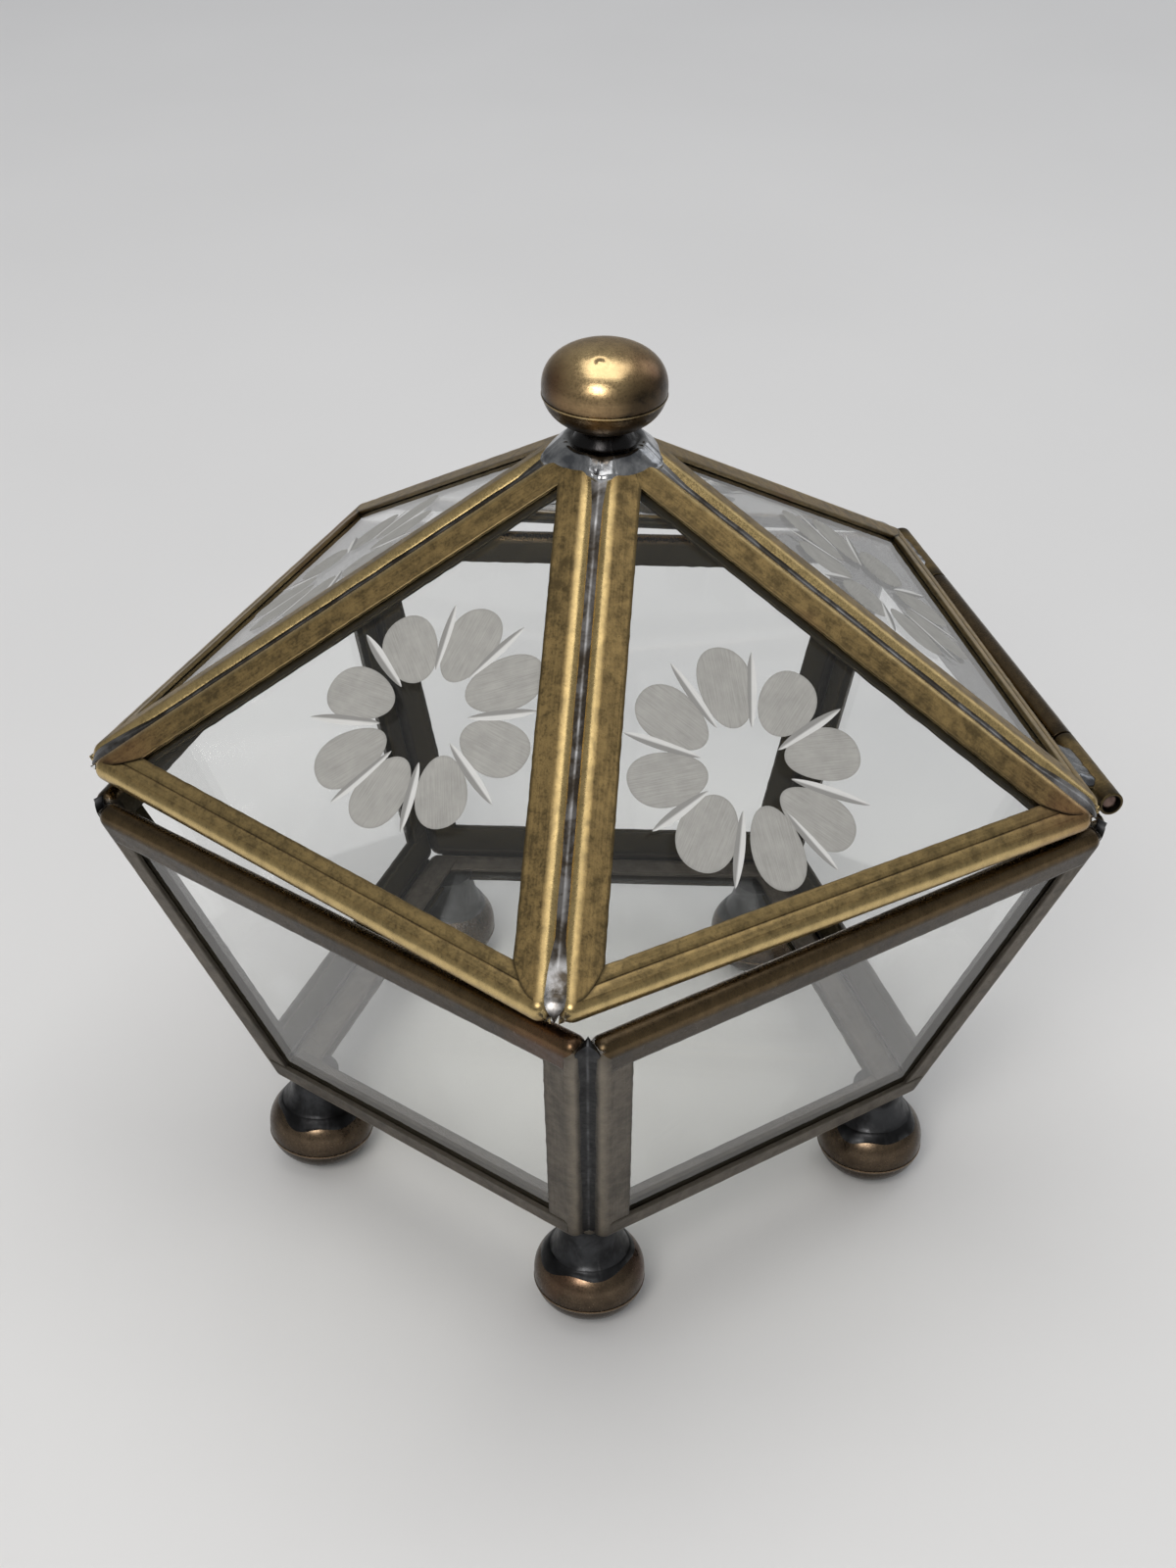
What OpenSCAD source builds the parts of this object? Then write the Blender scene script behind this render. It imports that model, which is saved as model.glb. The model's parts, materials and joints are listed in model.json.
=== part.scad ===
// Five-sided glass casket box: panes framed in folded brass channel, soldered edge to edge,
// with ball feet, a pyramid lid on a tube hinge, wheel-cut flowers and a ball knob.
// Millimetres, +Z up, z = 0 where the feet stand. The hinge edge faces +Y.

/* [Body] */
// Distance from the box's axis to the rim's corners, at the middle of the panes' thickness
rim_corner_r = 64.6; // [60:0.1:70]
// Height of the rim above the table
rim_z = 62.2; // [58:0.1:66]
// Distance from the axis to the base's corners, where side panes and base pane would meet
base_corner_r = 44.3; // [40:0.1:50]
// Height of the base pane's middle above the table
base_z = 15.3; // [12.6:0.1:20]

/* [Lid] */
// How far the lid's lower corners reach past the rim's corners, from their axes
lid_overhang = 0.5; // [-0.5:0.1:0.5]
// Height of the lid's lower edge line above the rim line
lid_lift = 1.9; // [1.9:0.1:4]
// Height of the lid's peak above its lower edge line
lid_rise = 39.5; // [30:0.5:46]
// How far the hand-soldered lid is turned from square with the box, in degrees
lid_turn = -3; // [-3:0.1:0]
// How far the lid and its hinge sit along the hinge from the middle of the box
lid_slide = 0.9; // [0:0.1:4]
// How far the lid sits towards the hinge from the middle of the box
lid_setback = 0; // [0:0.1:0.5]

/* [Channel and glass] */
// Outside thickness of the brass channel, which is also its rounded back's diameter
came_t = 3.2; // [3:0.1:3.4]
// How far the channel reaches over the glass, from its rounded back
came_depth = 4.5; // [4:0.1:5.5]
// Thickness of the channel's sheet brass
came_wall = 0.5; // [0.4:0.05:0.55]
// Thickness of the glass
glass_t = 2; // [1.6:0.1:2]
// Clearance between the glass and its channel, on every side
glass_clear = 0.08; // [0.05:0.01:0.1]
// Width of the solder joint between two channels, at its narrowest
joint_gap = 0.3; // [0.2:0.05:0.4]

/* [Solder] */
// Radius of the solder bead that fills the groove between two channels
bead_r = 1.25; // [1.1:0.05:1.4]
// How far the bead's centre stands out from the narrowest place of its groove
bead_out = 0.15; // [0:0.05:0.3]
// Clearance drawn between solder and brass
solder_clear = 0.02; // [0.01:0.01:0.04]
// Length at each end of a groove that the bead leaves free
bead_stop = 4; // [3:0.5:7]

/* [Feet and knob] */
// Radius of a foot
foot_r = 7.1; // [6:0.1:7.2]
// Height of a foot
foot_h = 10.6; // [9:0.1:11]
// Distance from the axis to the middle of each foot
foot_ring_r = 39.4; // [39:0.1:40.2]
// Radius of the knob
knob_r = 7.6; // [6:0.05:8]
// Height of the knob
knob_h = 10.5; // [9:0.1:13]
// Height of the solder neck between the lid's crown and the knob
knob_neck_h = 2.2; // [0.6:0.1:2.4]
// Thickness of the pressed sheet that feet and knob are made of
shell_wall = 0.5; // [0.4:0.05:0.7]
// How far below the widest line the two halves of a foot or of the knob meet
shell_seam_drop = 0.8; // [0.4:0.1:1.2]
// How far the lower half's edge stands back inside the upper half
shell_step = 0.12; // [0.08:0.01:0.2]
// Radius of the hole in a shell for its solder stud
stud_hole_r = 1.2; // [1:0.05:1.4]
// Length of the solder stud inside a shell
stud_len = 1.6; // [1:0.1:2.5]
// Radius of the solder pool that holds a foot or the knob
pool_r = 3; // [2.6:0.1:3.2]

/* [Crown] */
// Radius of the round opening left at the peak, where the ribs are cut back
peak_cut_r = 5; // [4.4:0.1:5.5]
// Gap between the rib ends and the solder crown
crown_gap = 0.1; // [0.05:0.05:0.2]
// How far the solder crown's top lies below the peak, where the seam lines would meet
crown_drop = 2.1; // [1.9:0.1:2.5]
// Height of the solder crown's domed top, above its straight side
crown_dome_h = 0.9; // [0.5:0.1:1.2]
// Height of the solder crown from its underside to its top
crown_h = 4.4; // [3.5:0.1:5]

/* [Hinge] */
// Outside radius of the hinge tube
tube_r = 1.59; // [1.5:0.01:1.65]
// Wall of the hinge tube
tube_wall = 0.4; // [0.35:0.01:0.45]
// Clearance between the rod and the tube, on the radius
rod_clear = 0.05; // [0.03:0.01:0.08]
// Length of the hinge from end to end
hinge_len = 72; // [66:0.5:73]
// Length of each of the two end knuckles
end_knuckle_len = 14.4; // [12:0.1:18]
// Gap between neighbouring knuckles
knuckle_gap = 0.3; // [0.2:0.05:0.5]
// How far the rod's ends stand back inside the end knuckles
rod_inset = 0.8; // [0.4:0.1:1.5]
// How far the hinge's axis stands out from the rim's edge line
hinge_out = 3; // [3:0.05:3.4]
// Height of the hinge's axis above the rim line
hinge_up = 0.75; // [0.65:0.05:0.85]
// Half thickness of the solder web that joins a knuckle to its channel
web_half = 0.9; // [0.7:0.05:1.1]
// Length of each solder web on the lid
lid_web_len = 9; // [6:0.5:11]
// Length of the solder web on the body
body_web_len = 36; // [24:1:40]

/* [Wheel-cut flower] */
// Number of petals, with as many thin leaves between them
petal_count = 8; // [6:1:9]
// Distance from a lid pane's lower edge line to the flower's middle
flower_y = 22; // [20:0.5:24]
// Distance from the flower's middle to the middle of each petal
petal_ring_r = 10.1; // [9.6:0.1:10.6]
// Length of a petal
petal_len = 9.9; // [9:0.1:10.2]
// Width of a petal
petal_w = 6.8; // [6:0.1:7]
// Distance from the flower's middle to the middle of each thin leaf
leaf_ring_r = 10.5; // [10:0.1:11]
// Length of a thin leaf
leaf_len = 9.8; // [8.5:0.1:10.4]
// Width of a thin leaf
leaf_w = 0.9; // [0.7:0.1:1.1]
// Depth of the cuts in the glass
cut_depth = 0.2; // [0.15:0.01:0.25]

/* [Hidden] */
$fn = 96;
// Facets round a petal's outline
petal_facets = 20;

// Number of sides of the box
sides = 5;
turn_step = 360 / sides;
half_step = turn_step / 2;
// Direction of the hinge edge, pane 1; the panes count anticlockwise from it, seen from above
hinge_dir = 90;
came_r = came_t / 2;
rod_r = tube_r - tube_wall - rod_clear;
// The hinge shares the lid's turn out with the body
hinge_turn = lid_turn / 2;
// Longer than any piece, for shapes that are cut to size by others
far = 300;
// Overlap of a cutting shape past the face that it cuts
cut_over = 1;

lid_corner_r = rim_corner_r + lid_overhang;
rim_apothem = rim_corner_r * cos(half_step);
base_apothem = base_corner_r * cos(half_step);
lid_apothem = lid_corner_r * cos(half_step);
lid_z = rim_z + lid_lift;
peak_z = lid_z + lid_rise;

// Slopes of the panes above the horizontal, and their lengths up the slope
side_slope = atan2(rim_z - base_z, rim_apothem - base_apothem);
side_len = norm([rim_z - base_z, rim_apothem - base_apothem]);
lid_slope = atan2(lid_rise, lid_apothem);
lid_len = norm([lid_rise, lid_apothem]);

// Half of the inside angle between two panes that meet at a corner seam
function half_dihedral(slope) = 90 - acos(pow(sin(slope), 2) * cos(turn_step) + pow(cos(slope), 2)) / 2;
side_half_angle = half_dihedral(side_slope);
lid_half_angle = half_dihedral(lid_slope);
base_half_angle = 90 - side_slope / 2;

// How far a channel's back stays from the line where two panes would meet
function joint_inset(half_angle) = (came_r + joint_gap / 2) / sin(half_angle) - came_r;
side_inset = joint_inset(side_half_angle);
lid_inset = joint_inset(lid_half_angle);
base_inset = joint_inset(base_half_angle);

// Outlines of the panes in their own planes, to the lines where the panes would meet
function regular(apothem) = [for (i = [0:sides - 1])
    apothem / cos(half_step) * [cos(turn_step * i + half_step), sin(turn_step * i + half_step)]];
function trapezoid(low_apothem, high_apothem, height) = let (k = tan(half_step)) [
    [-low_apothem * k, 0], [low_apothem * k, 0], [high_apothem * k, height], [-high_apothem * k, height]];
function triangle(apothem, height) = let (k = tan(half_step)) [
    [-apothem * k, 0], [apothem * k, 0], [0, height]];

// Outline moved inwards, by its own distance on each edge
function edge_dir(p, i) = let (v = p[(i + 1) % len(p)] - p[i]) v / norm(v);
function inward(d) = [-d[1], d[0]];
function meet(p1, d1, p2, d2) = p1 + d1 * cross(p2 - p1, d2) / cross(d1, d2);
function inset(p, w) = [for (i = [0:len(p) - 1])
    let (j = (i + len(p) - 1) % len(p), di = edge_dir(p, i), dj = edge_dir(p, j))
    meet(p[j] + inward(dj) * w[j], dj, p[i] + inward(di) * w[i], di)];

side_outline = inset(trapezoid(base_apothem, rim_apothem, side_len), [base_inset, side_inset, 0, side_inset]);
lid_outline = inset(triangle(lid_apothem, lid_len), [0, lid_inset, lid_inset]);
base_outline = inset(regular(base_apothem), [for (i = [0:sides - 1]) base_inset]);
function window(outline) = inset(outline, [for (p = outline) came_depth]);
function glass_edge(outline) = inset(outline, [for (p = outline) came_wall + glass_clear]);
function slot_edge(outline) = inset(outline, [for (p = outline) came_wall]);

// Centre lines [y, z] of the rounded backs that the hinge is soldered to
rim_back = [rim_apothem - came_r * cos(side_slope), rim_z - came_r * sin(side_slope)];
lid_back = [lid_apothem - came_r * cos(lid_slope), lid_z + came_r * sin(lid_slope)];

// Corners and hinge ends as seen from above, to find the middle of the whole box
function turned(p, a) = [p[0] * cos(a) - p[1] * sin(a), p[0] * sin(a) + p[1] * cos(a)];
function tips(x, y, turn) = [for (i = [0:sides - 1], side = [-1, 1])
    turned([side * x, y], turn + turn_step * i)];
rim_tips = tips(side_outline[2][0], rim_apothem, 0);
lid_tips = [for (p = tips(lid_outline[1][0], lid_apothem, lid_turn)) p + [-lid_slide, lid_setback]];
hinge_y = rim_apothem + hinge_out;
hinge_z = rim_z + hinge_up;
tube_tips = [for (end = [-1, 1], edge = [-1, 1])
    turned([end * hinge_len / 2, edge * tube_r], hinge_turn) + [-lid_slide, hinge_y]];
all_tips = concat(rim_tips, lid_tips, tube_tips);
function middle(values) = (min(values) + max(values)) / 2;
// The origin lies under the middle of the whole box, so the box's own axis stands off it by this
axis_at = -[middle([for (p = all_tips) p[0]]), middle([for (p = all_tips) p[1]])];

// Solder grooves: half distance of the two channel backs, and their depth under the seam line
groove_half = came_r + joint_gap / 2;
function groove_depth(half_angle) = groove_half / tan(half_angle);

crown_top_z = peak_z - crown_drop;
// Height of the knob's flat underside
knob_z = crown_top_z + knob_neck_h;
crown_r = peak_cut_r - crown_gap;
pool_top_z = base_z - came_r;

glass_tint = [0.80, 0.88, 0.84, 0.35];
lid_brass = [0.50, 0.39, 0.22];
body_brass = [0.36, 0.30, 0.23];
bead_brass = [0.55, 0.40, 0.26];
solder_grey = [0.36, 0.37, 0.39];

// ---- Placing ----

module on_axis() {
    translate([axis_at[0], axis_at[1], 0]) children();
}

module on_lid_axis() {
    on_axis() translate([-lid_slide, lid_setback, 0]) rotate([0, 0, lid_turn]) children();
}

// Pane plane: x along the edge, y up the slope, z out of the box
module on_pane(number, apothem, z, lean) {
    rotate([0, 0, hinge_dir + turn_step * (number - 1) + 90])
        translate([0, -apothem, z]) rotate([lean, 0, 0]) children();
}

module on_side(number) {
    on_axis() on_pane(number, base_apothem, base_z, 180 - side_slope) children();
}

module on_lid_side(number) {
    on_lid_axis() on_pane(number, lid_apothem, lid_z, lid_slope) children();
}

// Seam line from one point to another in the corner's upright plane: z along it, x out of the box
module on_seam(corner, r0, z0, r1, z1) {
    rotate([0, 0, hinge_dir - half_step + turn_step * corner])
        translate([r0, 0, z0]) rotate([0, 90 - atan2(z1 - z0, r1 - r0), 0]) children();
}

// ---- Channel and glass ----

// What is cut off along an edge to leave the channel's half-round back at y = 0
module back_cutter() {
    translate([-far / 2, 0, 0]) rotate([90, 0, 90]) linear_extrude(height = far) difference() {
        translate([-cut_over, -came_t]) square([came_r + cut_over, 2 * came_t]);
        translate([came_r, 0]) circle(r = came_r);
    }
}

// Frame of folded channel round one pane, with the slot for the glass
module channel_frame(outline) {
    difference() {
        linear_extrude(height = came_t, center = true) polygon(outline);
        for (i = [0:len(outline) - 1])
            translate([outline[i][0], outline[i][1], 0])
                rotate([0, 0, atan2(edge_dir(outline, i)[1], edge_dir(outline, i)[0])]) back_cutter();
        linear_extrude(height = came_t + cut_over, center = true) polygon(window(outline));
        linear_extrude(height = glass_t + 2 * glass_clear, center = true) polygon(slot_edge(outline));
    }
}

module pane(outline) {
    linear_extrude(height = glass_t, center = true) polygon(glass_edge(outline));
}

// ---- Base and sides ----

module base_glass() {
    color(glass_tint) on_axis() rotate([0, 0, hinge_dir]) translate([0, 0, base_z]) pane(base_outline);
}

module base_channel() {
    color(body_brass) on_axis() rotate([0, 0, hinge_dir]) translate([0, 0, base_z])
        channel_frame(base_outline);
}

module side_glass(number) {
    color(glass_tint) on_side(number) pane(side_outline);
}

module side_channel(number) {
    color(body_brass) on_side(number) channel_frame(side_outline);
}

// ---- Solder in the grooves ----

// Section of a bead: x out of the box, with the two round backs cut away
module bead_section(half_angle) {
    difference() {
        translate([bead_out - groove_depth(half_angle), 0]) circle(r = bead_r);
        for (side = [-1, 1])
            translate([-groove_depth(half_angle), side * groove_half]) circle(r = came_r + solder_clear);
    }
}

module bead(half_angle, length) {
    translate([0, 0, bead_stop]) linear_extrude(height = length - 2 * bead_stop)
        bead_section(half_angle);
}

module side_solder() {
    color(solder_grey) on_axis() for (corner = [0:sides - 1])
        on_seam(corner, base_corner_r, base_z, rim_corner_r, rim_z)
            bead(side_half_angle, norm([rim_corner_r - base_corner_r, rim_z - base_z]));
}

module lid_solder() {
    color(solder_grey) on_lid_axis() for (corner = [0:sides - 1])
        on_seam(corner, lid_corner_r, lid_z, 0, peak_z)
            bead(lid_half_angle, norm([lid_corner_r, lid_rise]) - peak_cut_r);
}

// Beads along the base's edges, lying square to the seam beads
module base_solder() {
    length = 2 * base_apothem * tan(half_step);
    color(solder_grey) on_axis() for (number = [1:sides])
        on_pane(number, base_apothem, base_z, 0)
            translate([-length / 2, 0, 0]) rotate([90, 0, 90]) rotate([0, 0, 180 + base_half_angle])
                bead(base_half_angle, length);
}

// ---- Feet and knob: pressed shells that meet just below their widest line ----

// Half of a flattened ball's section, from its middle line outwards
module ball_section(r, h) {
    flat = r - h / 2;
    intersection() {
        union() {
            translate([flat, 0]) circle(r = h / 2);
            translate([0, -h / 2]) square([flat, h]);
        }
        translate([0, -h]) square([far, 2 * h]);
    }
}

module shell_section(r, h) {
    difference() {
        ball_section(r, h);
        ball_section(r - shell_wall, h - 2 * shell_wall);
    }
}

// stud: -1 with the solder stud's hole below, 1 above, 0 with none
module upper_shell(r, h, stud) {
    difference() {
        rotate_extrude() intersection() {
            shell_section(r, h);
            translate([0, -shell_seam_drop]) square([far, far]);
        }
        if (stud == 1) cylinder(r = stud_hole_r, h = h);
    }
}

module lower_shell(r, h, stud) {
    difference() {
        rotate_extrude() intersection() {
            shell_section(r - shell_step, h);
            translate([0, -shell_seam_drop - far]) square([far, far]);
        }
        if (stud == -1) translate([0, 0, -h]) cylinder(r = stud_hole_r, h = h);
    }
}

module at_foot(number) {
    rotate([0, 0, hinge_dir - half_step + turn_step * (number - 1)])
        translate([foot_ring_r, 0, foot_h / 2]) children();
}

module foot_upper(number) {
    color(bead_brass) on_axis() at_foot(number) upper_shell(foot_r, foot_h, 1);
}

module foot_lower(number) {
    color(bead_brass) on_axis() at_foot(number) lower_shell(foot_r, foot_h, 0);
}

// Solder pool on a shell's flat, with its stud through the hole: z = 0 on the flat, pool above it
module solder_pool(height) {
    cylinder(r = pool_r, h = height);
    translate([0, 0, -stud_len]) cylinder(r = stud_hole_r - solder_clear, h = stud_len + height / 2);
}

module foot_solder() {
    color(solder_grey) on_axis() for (number = [1:sides])
        at_foot(number) translate([0, 0, foot_h / 2]) solder_pool(pool_top_z - foot_h);
}

module on_knob() {
    on_lid_axis() translate([0, 0, knob_z + knob_h / 2]) children();
}

module knob_upper() {
    color(bead_brass) on_knob() upper_shell(knob_r, knob_h, 0);
}

module knob_lower() {
    color(bead_brass) on_knob() lower_shell(knob_r, knob_h, -1);
}

// ---- Lid ----

module peak_cut(r) {
    on_lid_axis() cylinder(r = r, h = far);
}

module lid_glass(number) {
    color(glass_tint) difference() {
        on_lid_side(number) difference() {
            pane(lid_outline);
            translate([0, flower_y, glass_t / 2]) flower_cuts();
        }
        peak_cut(peak_cut_r);
    }
}

module lid_channel(number) {
    color(lid_brass) difference() {
        on_lid_side(number) channel_frame(lid_outline);
        peak_cut(peak_cut_r);
    }
}

// Outline of a petal: an oval
module petal_outline() {
    polygon([for (a = [0:360 / petal_facets:359])
        [petal_len / 2 * cos(a), petal_w / 2 * sin(a)]]);
}

// Outline of a thin leaf: two arcs that meet in points
module leaf_outline() {
    arc_r = (pow(leaf_len / 2, 2) + pow(leaf_w / 2, 2)) / leaf_w;
    intersection_for (side = [-1, 1]) translate([0, side * (arc_r - leaf_w / 2)]) circle(r = arc_r);
}

module flower_cuts() {
    translate([0, 0, -cut_depth]) linear_extrude(height = cut_depth + cut_over)
        for (i = [0:petal_count - 1]) {
            rotate(360 / petal_count * i) translate([petal_ring_r, 0]) petal_outline();
            rotate(360 / petal_count * (i + 0.5)) translate([leaf_ring_r, 0]) leaf_outline();
        }
}

// Solder crown in the peak's round opening, with its neck and its stud in the knob
module crown_solder() {
    dome_run = crown_r - pool_r;
    dome_arc_r = (pow(dome_run, 2) + pow(crown_dome_h, 2)) / (2 * crown_dome_h);
    color(solder_grey) on_lid_axis() {
        translate([0, 0, crown_top_z]) rotate_extrude() {
            translate([0, -crown_h]) square([crown_r, crown_h - crown_dome_h]);
            translate([0, -crown_dome_h - cut_over / 2]) square([pool_r, crown_dome_h + cut_over / 2]);
            intersection() {
                translate([pool_r, -dome_arc_r]) circle(r = dome_arc_r);
                translate([pool_r, -crown_dome_h]) square([dome_run, crown_dome_h]);
            }
        }
        translate([0, 0, knob_z]) mirror([0, 0, 1]) solder_pool(knob_neck_h);
    }
}

// ---- Hinge ----

// x along the hinge's axis
module on_hinge() {
    on_axis() translate([-lid_slide, hinge_y, hinge_z]) rotate([0, 0, hinge_turn])
        rotate([0, 90, 0]) children();
}

module tube(from, to) {
    translate([0, 0, from]) difference() {
        cylinder(r = tube_r, h = to - from);
        translate([0, 0, -cut_over]) cylinder(r = tube_r - tube_wall, h = to - from + 2 * cut_over);
    }
}

module hinge_knuckle_right() {
    color(lid_brass) on_hinge() tube(hinge_len / 2 - end_knuckle_len, hinge_len / 2);
}

module hinge_knuckle_left() {
    color(lid_brass) on_hinge() tube(-hinge_len / 2, end_knuckle_len - hinge_len / 2);
}

module hinge_knuckle_body() {
    reach = hinge_len / 2 - end_knuckle_len - knuckle_gap;
    color(body_brass) on_hinge() tube(-reach, reach);
}

module hinge_rod() {
    color(solder_grey) on_hinge()
        translate([0, 0, rod_inset - hinge_len / 2]) cylinder(r = rod_r, h = hinge_len - 2 * rod_inset);
}

// Bar of solder between the centre lines, given as [y, z], of a channel's back and of the tube
module web(back, pin, length) {
    translate([-length / 2, back[0], back[1]]) rotate([atan2(pin[1] - back[1], pin[0] - back[0]), 0, 0])
        translate([0, 0, -web_half]) cube([length, norm(pin - back), 2 * web_half]);
}

// Round back of a channel along x, with the clearance of the solder on it
module back_line(back) {
    translate([0, back[0], back[1]]) rotate([0, 90, 0])
        cylinder(r = came_r + solder_clear, h = far, center = true);
}

module tube_line() {
    on_hinge() cylinder(r = tube_r + solder_clear, h = far, center = true);
}

module hinge_solder_body() {
    color(solder_grey) difference() {
        on_axis() translate([-lid_slide, 0, 0]) web(rim_back, [hinge_y, hinge_z], body_web_len);
        on_axis() back_line(rim_back);
        tube_line();
    }
}

module hinge_solder_lid() {
    tube_turn = hinge_turn - lid_turn;
    middle_at = turned([0, hinge_y - lid_setback], -lid_turn);
    color(solder_grey) difference() {
        on_lid_axis() for (side = [-1, 1]) let (run = side * (hinge_len - end_knuckle_len) / 2)
            translate([middle_at[0] + run * cos(tube_turn), 0, 0])
                web(lid_back, [middle_at[1] + run * sin(tube_turn), hinge_z], lid_web_len);
        on_lid_axis() back_line(lid_back);
        tube_line();
    }
}

base_glass();
base_channel();
for (n = [1:sides]) {
    side_glass(n);
    side_channel(n);
    lid_glass(n);
    lid_channel(n);
    foot_upper(n);
    foot_lower(n);
}
side_solder();
base_solder();
foot_solder();
lid_solder();
crown_solder();
knob_lower();
knob_upper();
hinge_rod();
hinge_knuckle_body();
hinge_knuckle_right();
hinge_knuckle_left();
hinge_solder_body();
hinge_solder_lid();
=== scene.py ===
"""Dresses the five-sided glass casket box: brass channel, solder, glass, cut flowers, feet, knob and hinge.

Every size is in millimetres in the box's own frame, and is turned into metres when a mesh is made.
"""

from __future__ import annotations

import json
import logging
import math
from dataclasses import dataclass, field, replace
from enum import Enum

import bmesh
import bpy
import numpy as np
from mathutils import Matrix, Vector


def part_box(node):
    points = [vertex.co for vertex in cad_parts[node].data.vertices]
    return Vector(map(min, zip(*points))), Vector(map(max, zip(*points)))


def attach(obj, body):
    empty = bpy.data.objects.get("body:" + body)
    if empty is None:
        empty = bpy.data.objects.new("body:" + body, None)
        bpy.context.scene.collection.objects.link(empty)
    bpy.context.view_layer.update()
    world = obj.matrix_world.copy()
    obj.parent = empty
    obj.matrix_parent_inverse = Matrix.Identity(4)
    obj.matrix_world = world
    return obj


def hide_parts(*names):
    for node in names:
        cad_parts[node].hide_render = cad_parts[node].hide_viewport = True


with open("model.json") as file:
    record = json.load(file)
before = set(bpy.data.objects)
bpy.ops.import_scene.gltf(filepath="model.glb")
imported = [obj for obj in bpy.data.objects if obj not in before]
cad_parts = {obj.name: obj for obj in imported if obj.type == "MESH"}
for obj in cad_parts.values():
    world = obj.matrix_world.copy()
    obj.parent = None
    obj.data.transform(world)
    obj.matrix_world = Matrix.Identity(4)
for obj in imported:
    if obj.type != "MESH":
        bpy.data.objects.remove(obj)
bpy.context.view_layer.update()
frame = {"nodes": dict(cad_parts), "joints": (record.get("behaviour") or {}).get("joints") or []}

LOG = logging.getLogger("casket")
MM = 0.001
SIDES = 5
TURN = 2 * math.pi
STEP = TURN / SIDES
HALF_STEP = STEP / 2
HINGE_DIR = math.pi / 2
FRONT_LEFT, FRONT_RIGHT = 4, 5
FRONT_CORNER = 4
POLE = np.array([0.0, 0.0, 1.0])
BALL_POWER = 2.25
Array = np.ndarray
Colour = tuple[float, float, float]
Keys = tuple[tuple[float, float], ...]
Marks = dict[str, Array]
Socket = bpy.types.NodeSocket
Material = bpy.types.Material
Finishes = dict[str, Material]


# ---- Small tools for shapes ----


def waves(x: Array, seed: int, wavelength: float) -> Array:
    """Gives a smooth wandering value: a sum of six sines with random pitches and phases, about -1 to 1.

    Args:
        x: Where the value is asked for, in millimetres.
        seed: Seed of the random pitches and phases.
        wavelength: Typical length of one wave, in millimetres.

    Returns:
        An array of the same shape as x.
    """
    rng, count = np.random.default_rng(seed), 6
    pitch = TURN / wavelength * rng.uniform(0.45, 1.9, count)
    phase = rng.uniform(0, TURN, count)
    share = rng.uniform(0.4, 1.0, count)
    return (np.sin(np.asarray(x, float)[..., None] * pitch + phase) * share).sum(-1) * 1.7 / share.sum()


def ring_waves(angle: Array, seed: int, fewest: int, most: int) -> Array:
    """Gives a wandering value round a circle, about -1 to 1: whole numbers of waves, so that it closes."""
    rng = np.random.default_rng(seed)
    count = np.arange(fewest, most + 1)
    phase = rng.uniform(0, TURN, len(count))
    share = rng.uniform(0.4, 1.0, len(count)) / np.sqrt(count)
    return (np.cos(np.asarray(angle, float)[..., None] * count + phase) * share).sum(-1) * 1.7 / share.sum()


def smooth(x: Array, low: float, high: float) -> Array:
    """Rises smoothly from 0 at low to 1 at high: the cubic 3t^2 - 2t^3."""
    t = np.clip((np.asarray(x, float) - low) / (high - low), 0, 1)
    return t * t * (3 - 2 * t)


def bell(x: Array, middle: float, width: float) -> Array:
    """Rises to 1 at the middle and falls off on both sides: exp of -((x - middle) / width)^2."""
    return np.exp(-(((x - middle) / width) ** 2))


def rot_z(angle: float) -> Array:
    """Gives the 3 x 3 turn about Z by an angle in radians."""
    c, s = math.cos(angle), math.sin(angle)
    return np.array([[c, -s, 0], [s, c, 0], [0, 0, 1.0]])


def rot_x(angle: float) -> Array:
    """Gives the 3 x 3 turn about X by an angle in radians."""
    c, s = math.cos(angle), math.sin(angle)
    return np.array([[1.0, 0, 0], [0, c, -s], [0, s, c]])


def round_circle(count: int) -> Array:
    """Gives evenly spaced angles round a circle."""
    return np.arange(count) / count * TURN


def ring(r: Array, angle: Array, z: Array) -> Array:
    """Gives points at a radius, an angle and a height round Z."""
    return np.stack(np.broadcast_arrays(r * np.cos(angle), r * np.sin(angle), z), -1)


def arc_length(points: Array) -> Array:
    """Gives how far along a line of points each one lies."""
    return np.concatenate([[0], np.cumsum(np.linalg.norm(np.diff(points, axis=0), axis=1))])


@dataclass(frozen=True)
class Place:
    """A turned and shifted frame: a local point p lies at turn @ p + at, in millimetres."""

    turn: Array
    at: Array

    def __call__(self, points: Array) -> Array:
        """Takes local points, as rows, into the box's frame."""
        return points @ self.turn.T + self.at

    def then(self, inner: "Place") -> "Place":
        """Gives the place of a frame that is itself placed in this one."""
        return Place(self.turn @ inner.turn, self.turn @ inner.at + self.at)


@dataclass
class Patch:
    """Points with faces, and what the finish reads at each point."""

    points: Array
    faces: list
    uv: Array | None = None
    marks: Marks = field(default_factory=dict)
    finish: int = 0

    def moved(self, place: Place) -> "Patch":
        """Gives the same patch in another place."""
        return Patch(place(self.points), self.faces, self.uv, self.marks, self.finish)


def grid_faces(rows: int, cols: int) -> Array:
    """Numbers the four corners of each cell of a grid of rows x cols points whose columns go round."""
    r, c = np.meshgrid(np.arange(rows - 1), np.arange(cols), indexing="ij")
    c2 = (c + 1) % cols
    return np.stack([r * cols + c, r * cols + c2, (r + 1) * cols + c2, (r + 1) * cols + c], -1).reshape(-1, 4)


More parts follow.
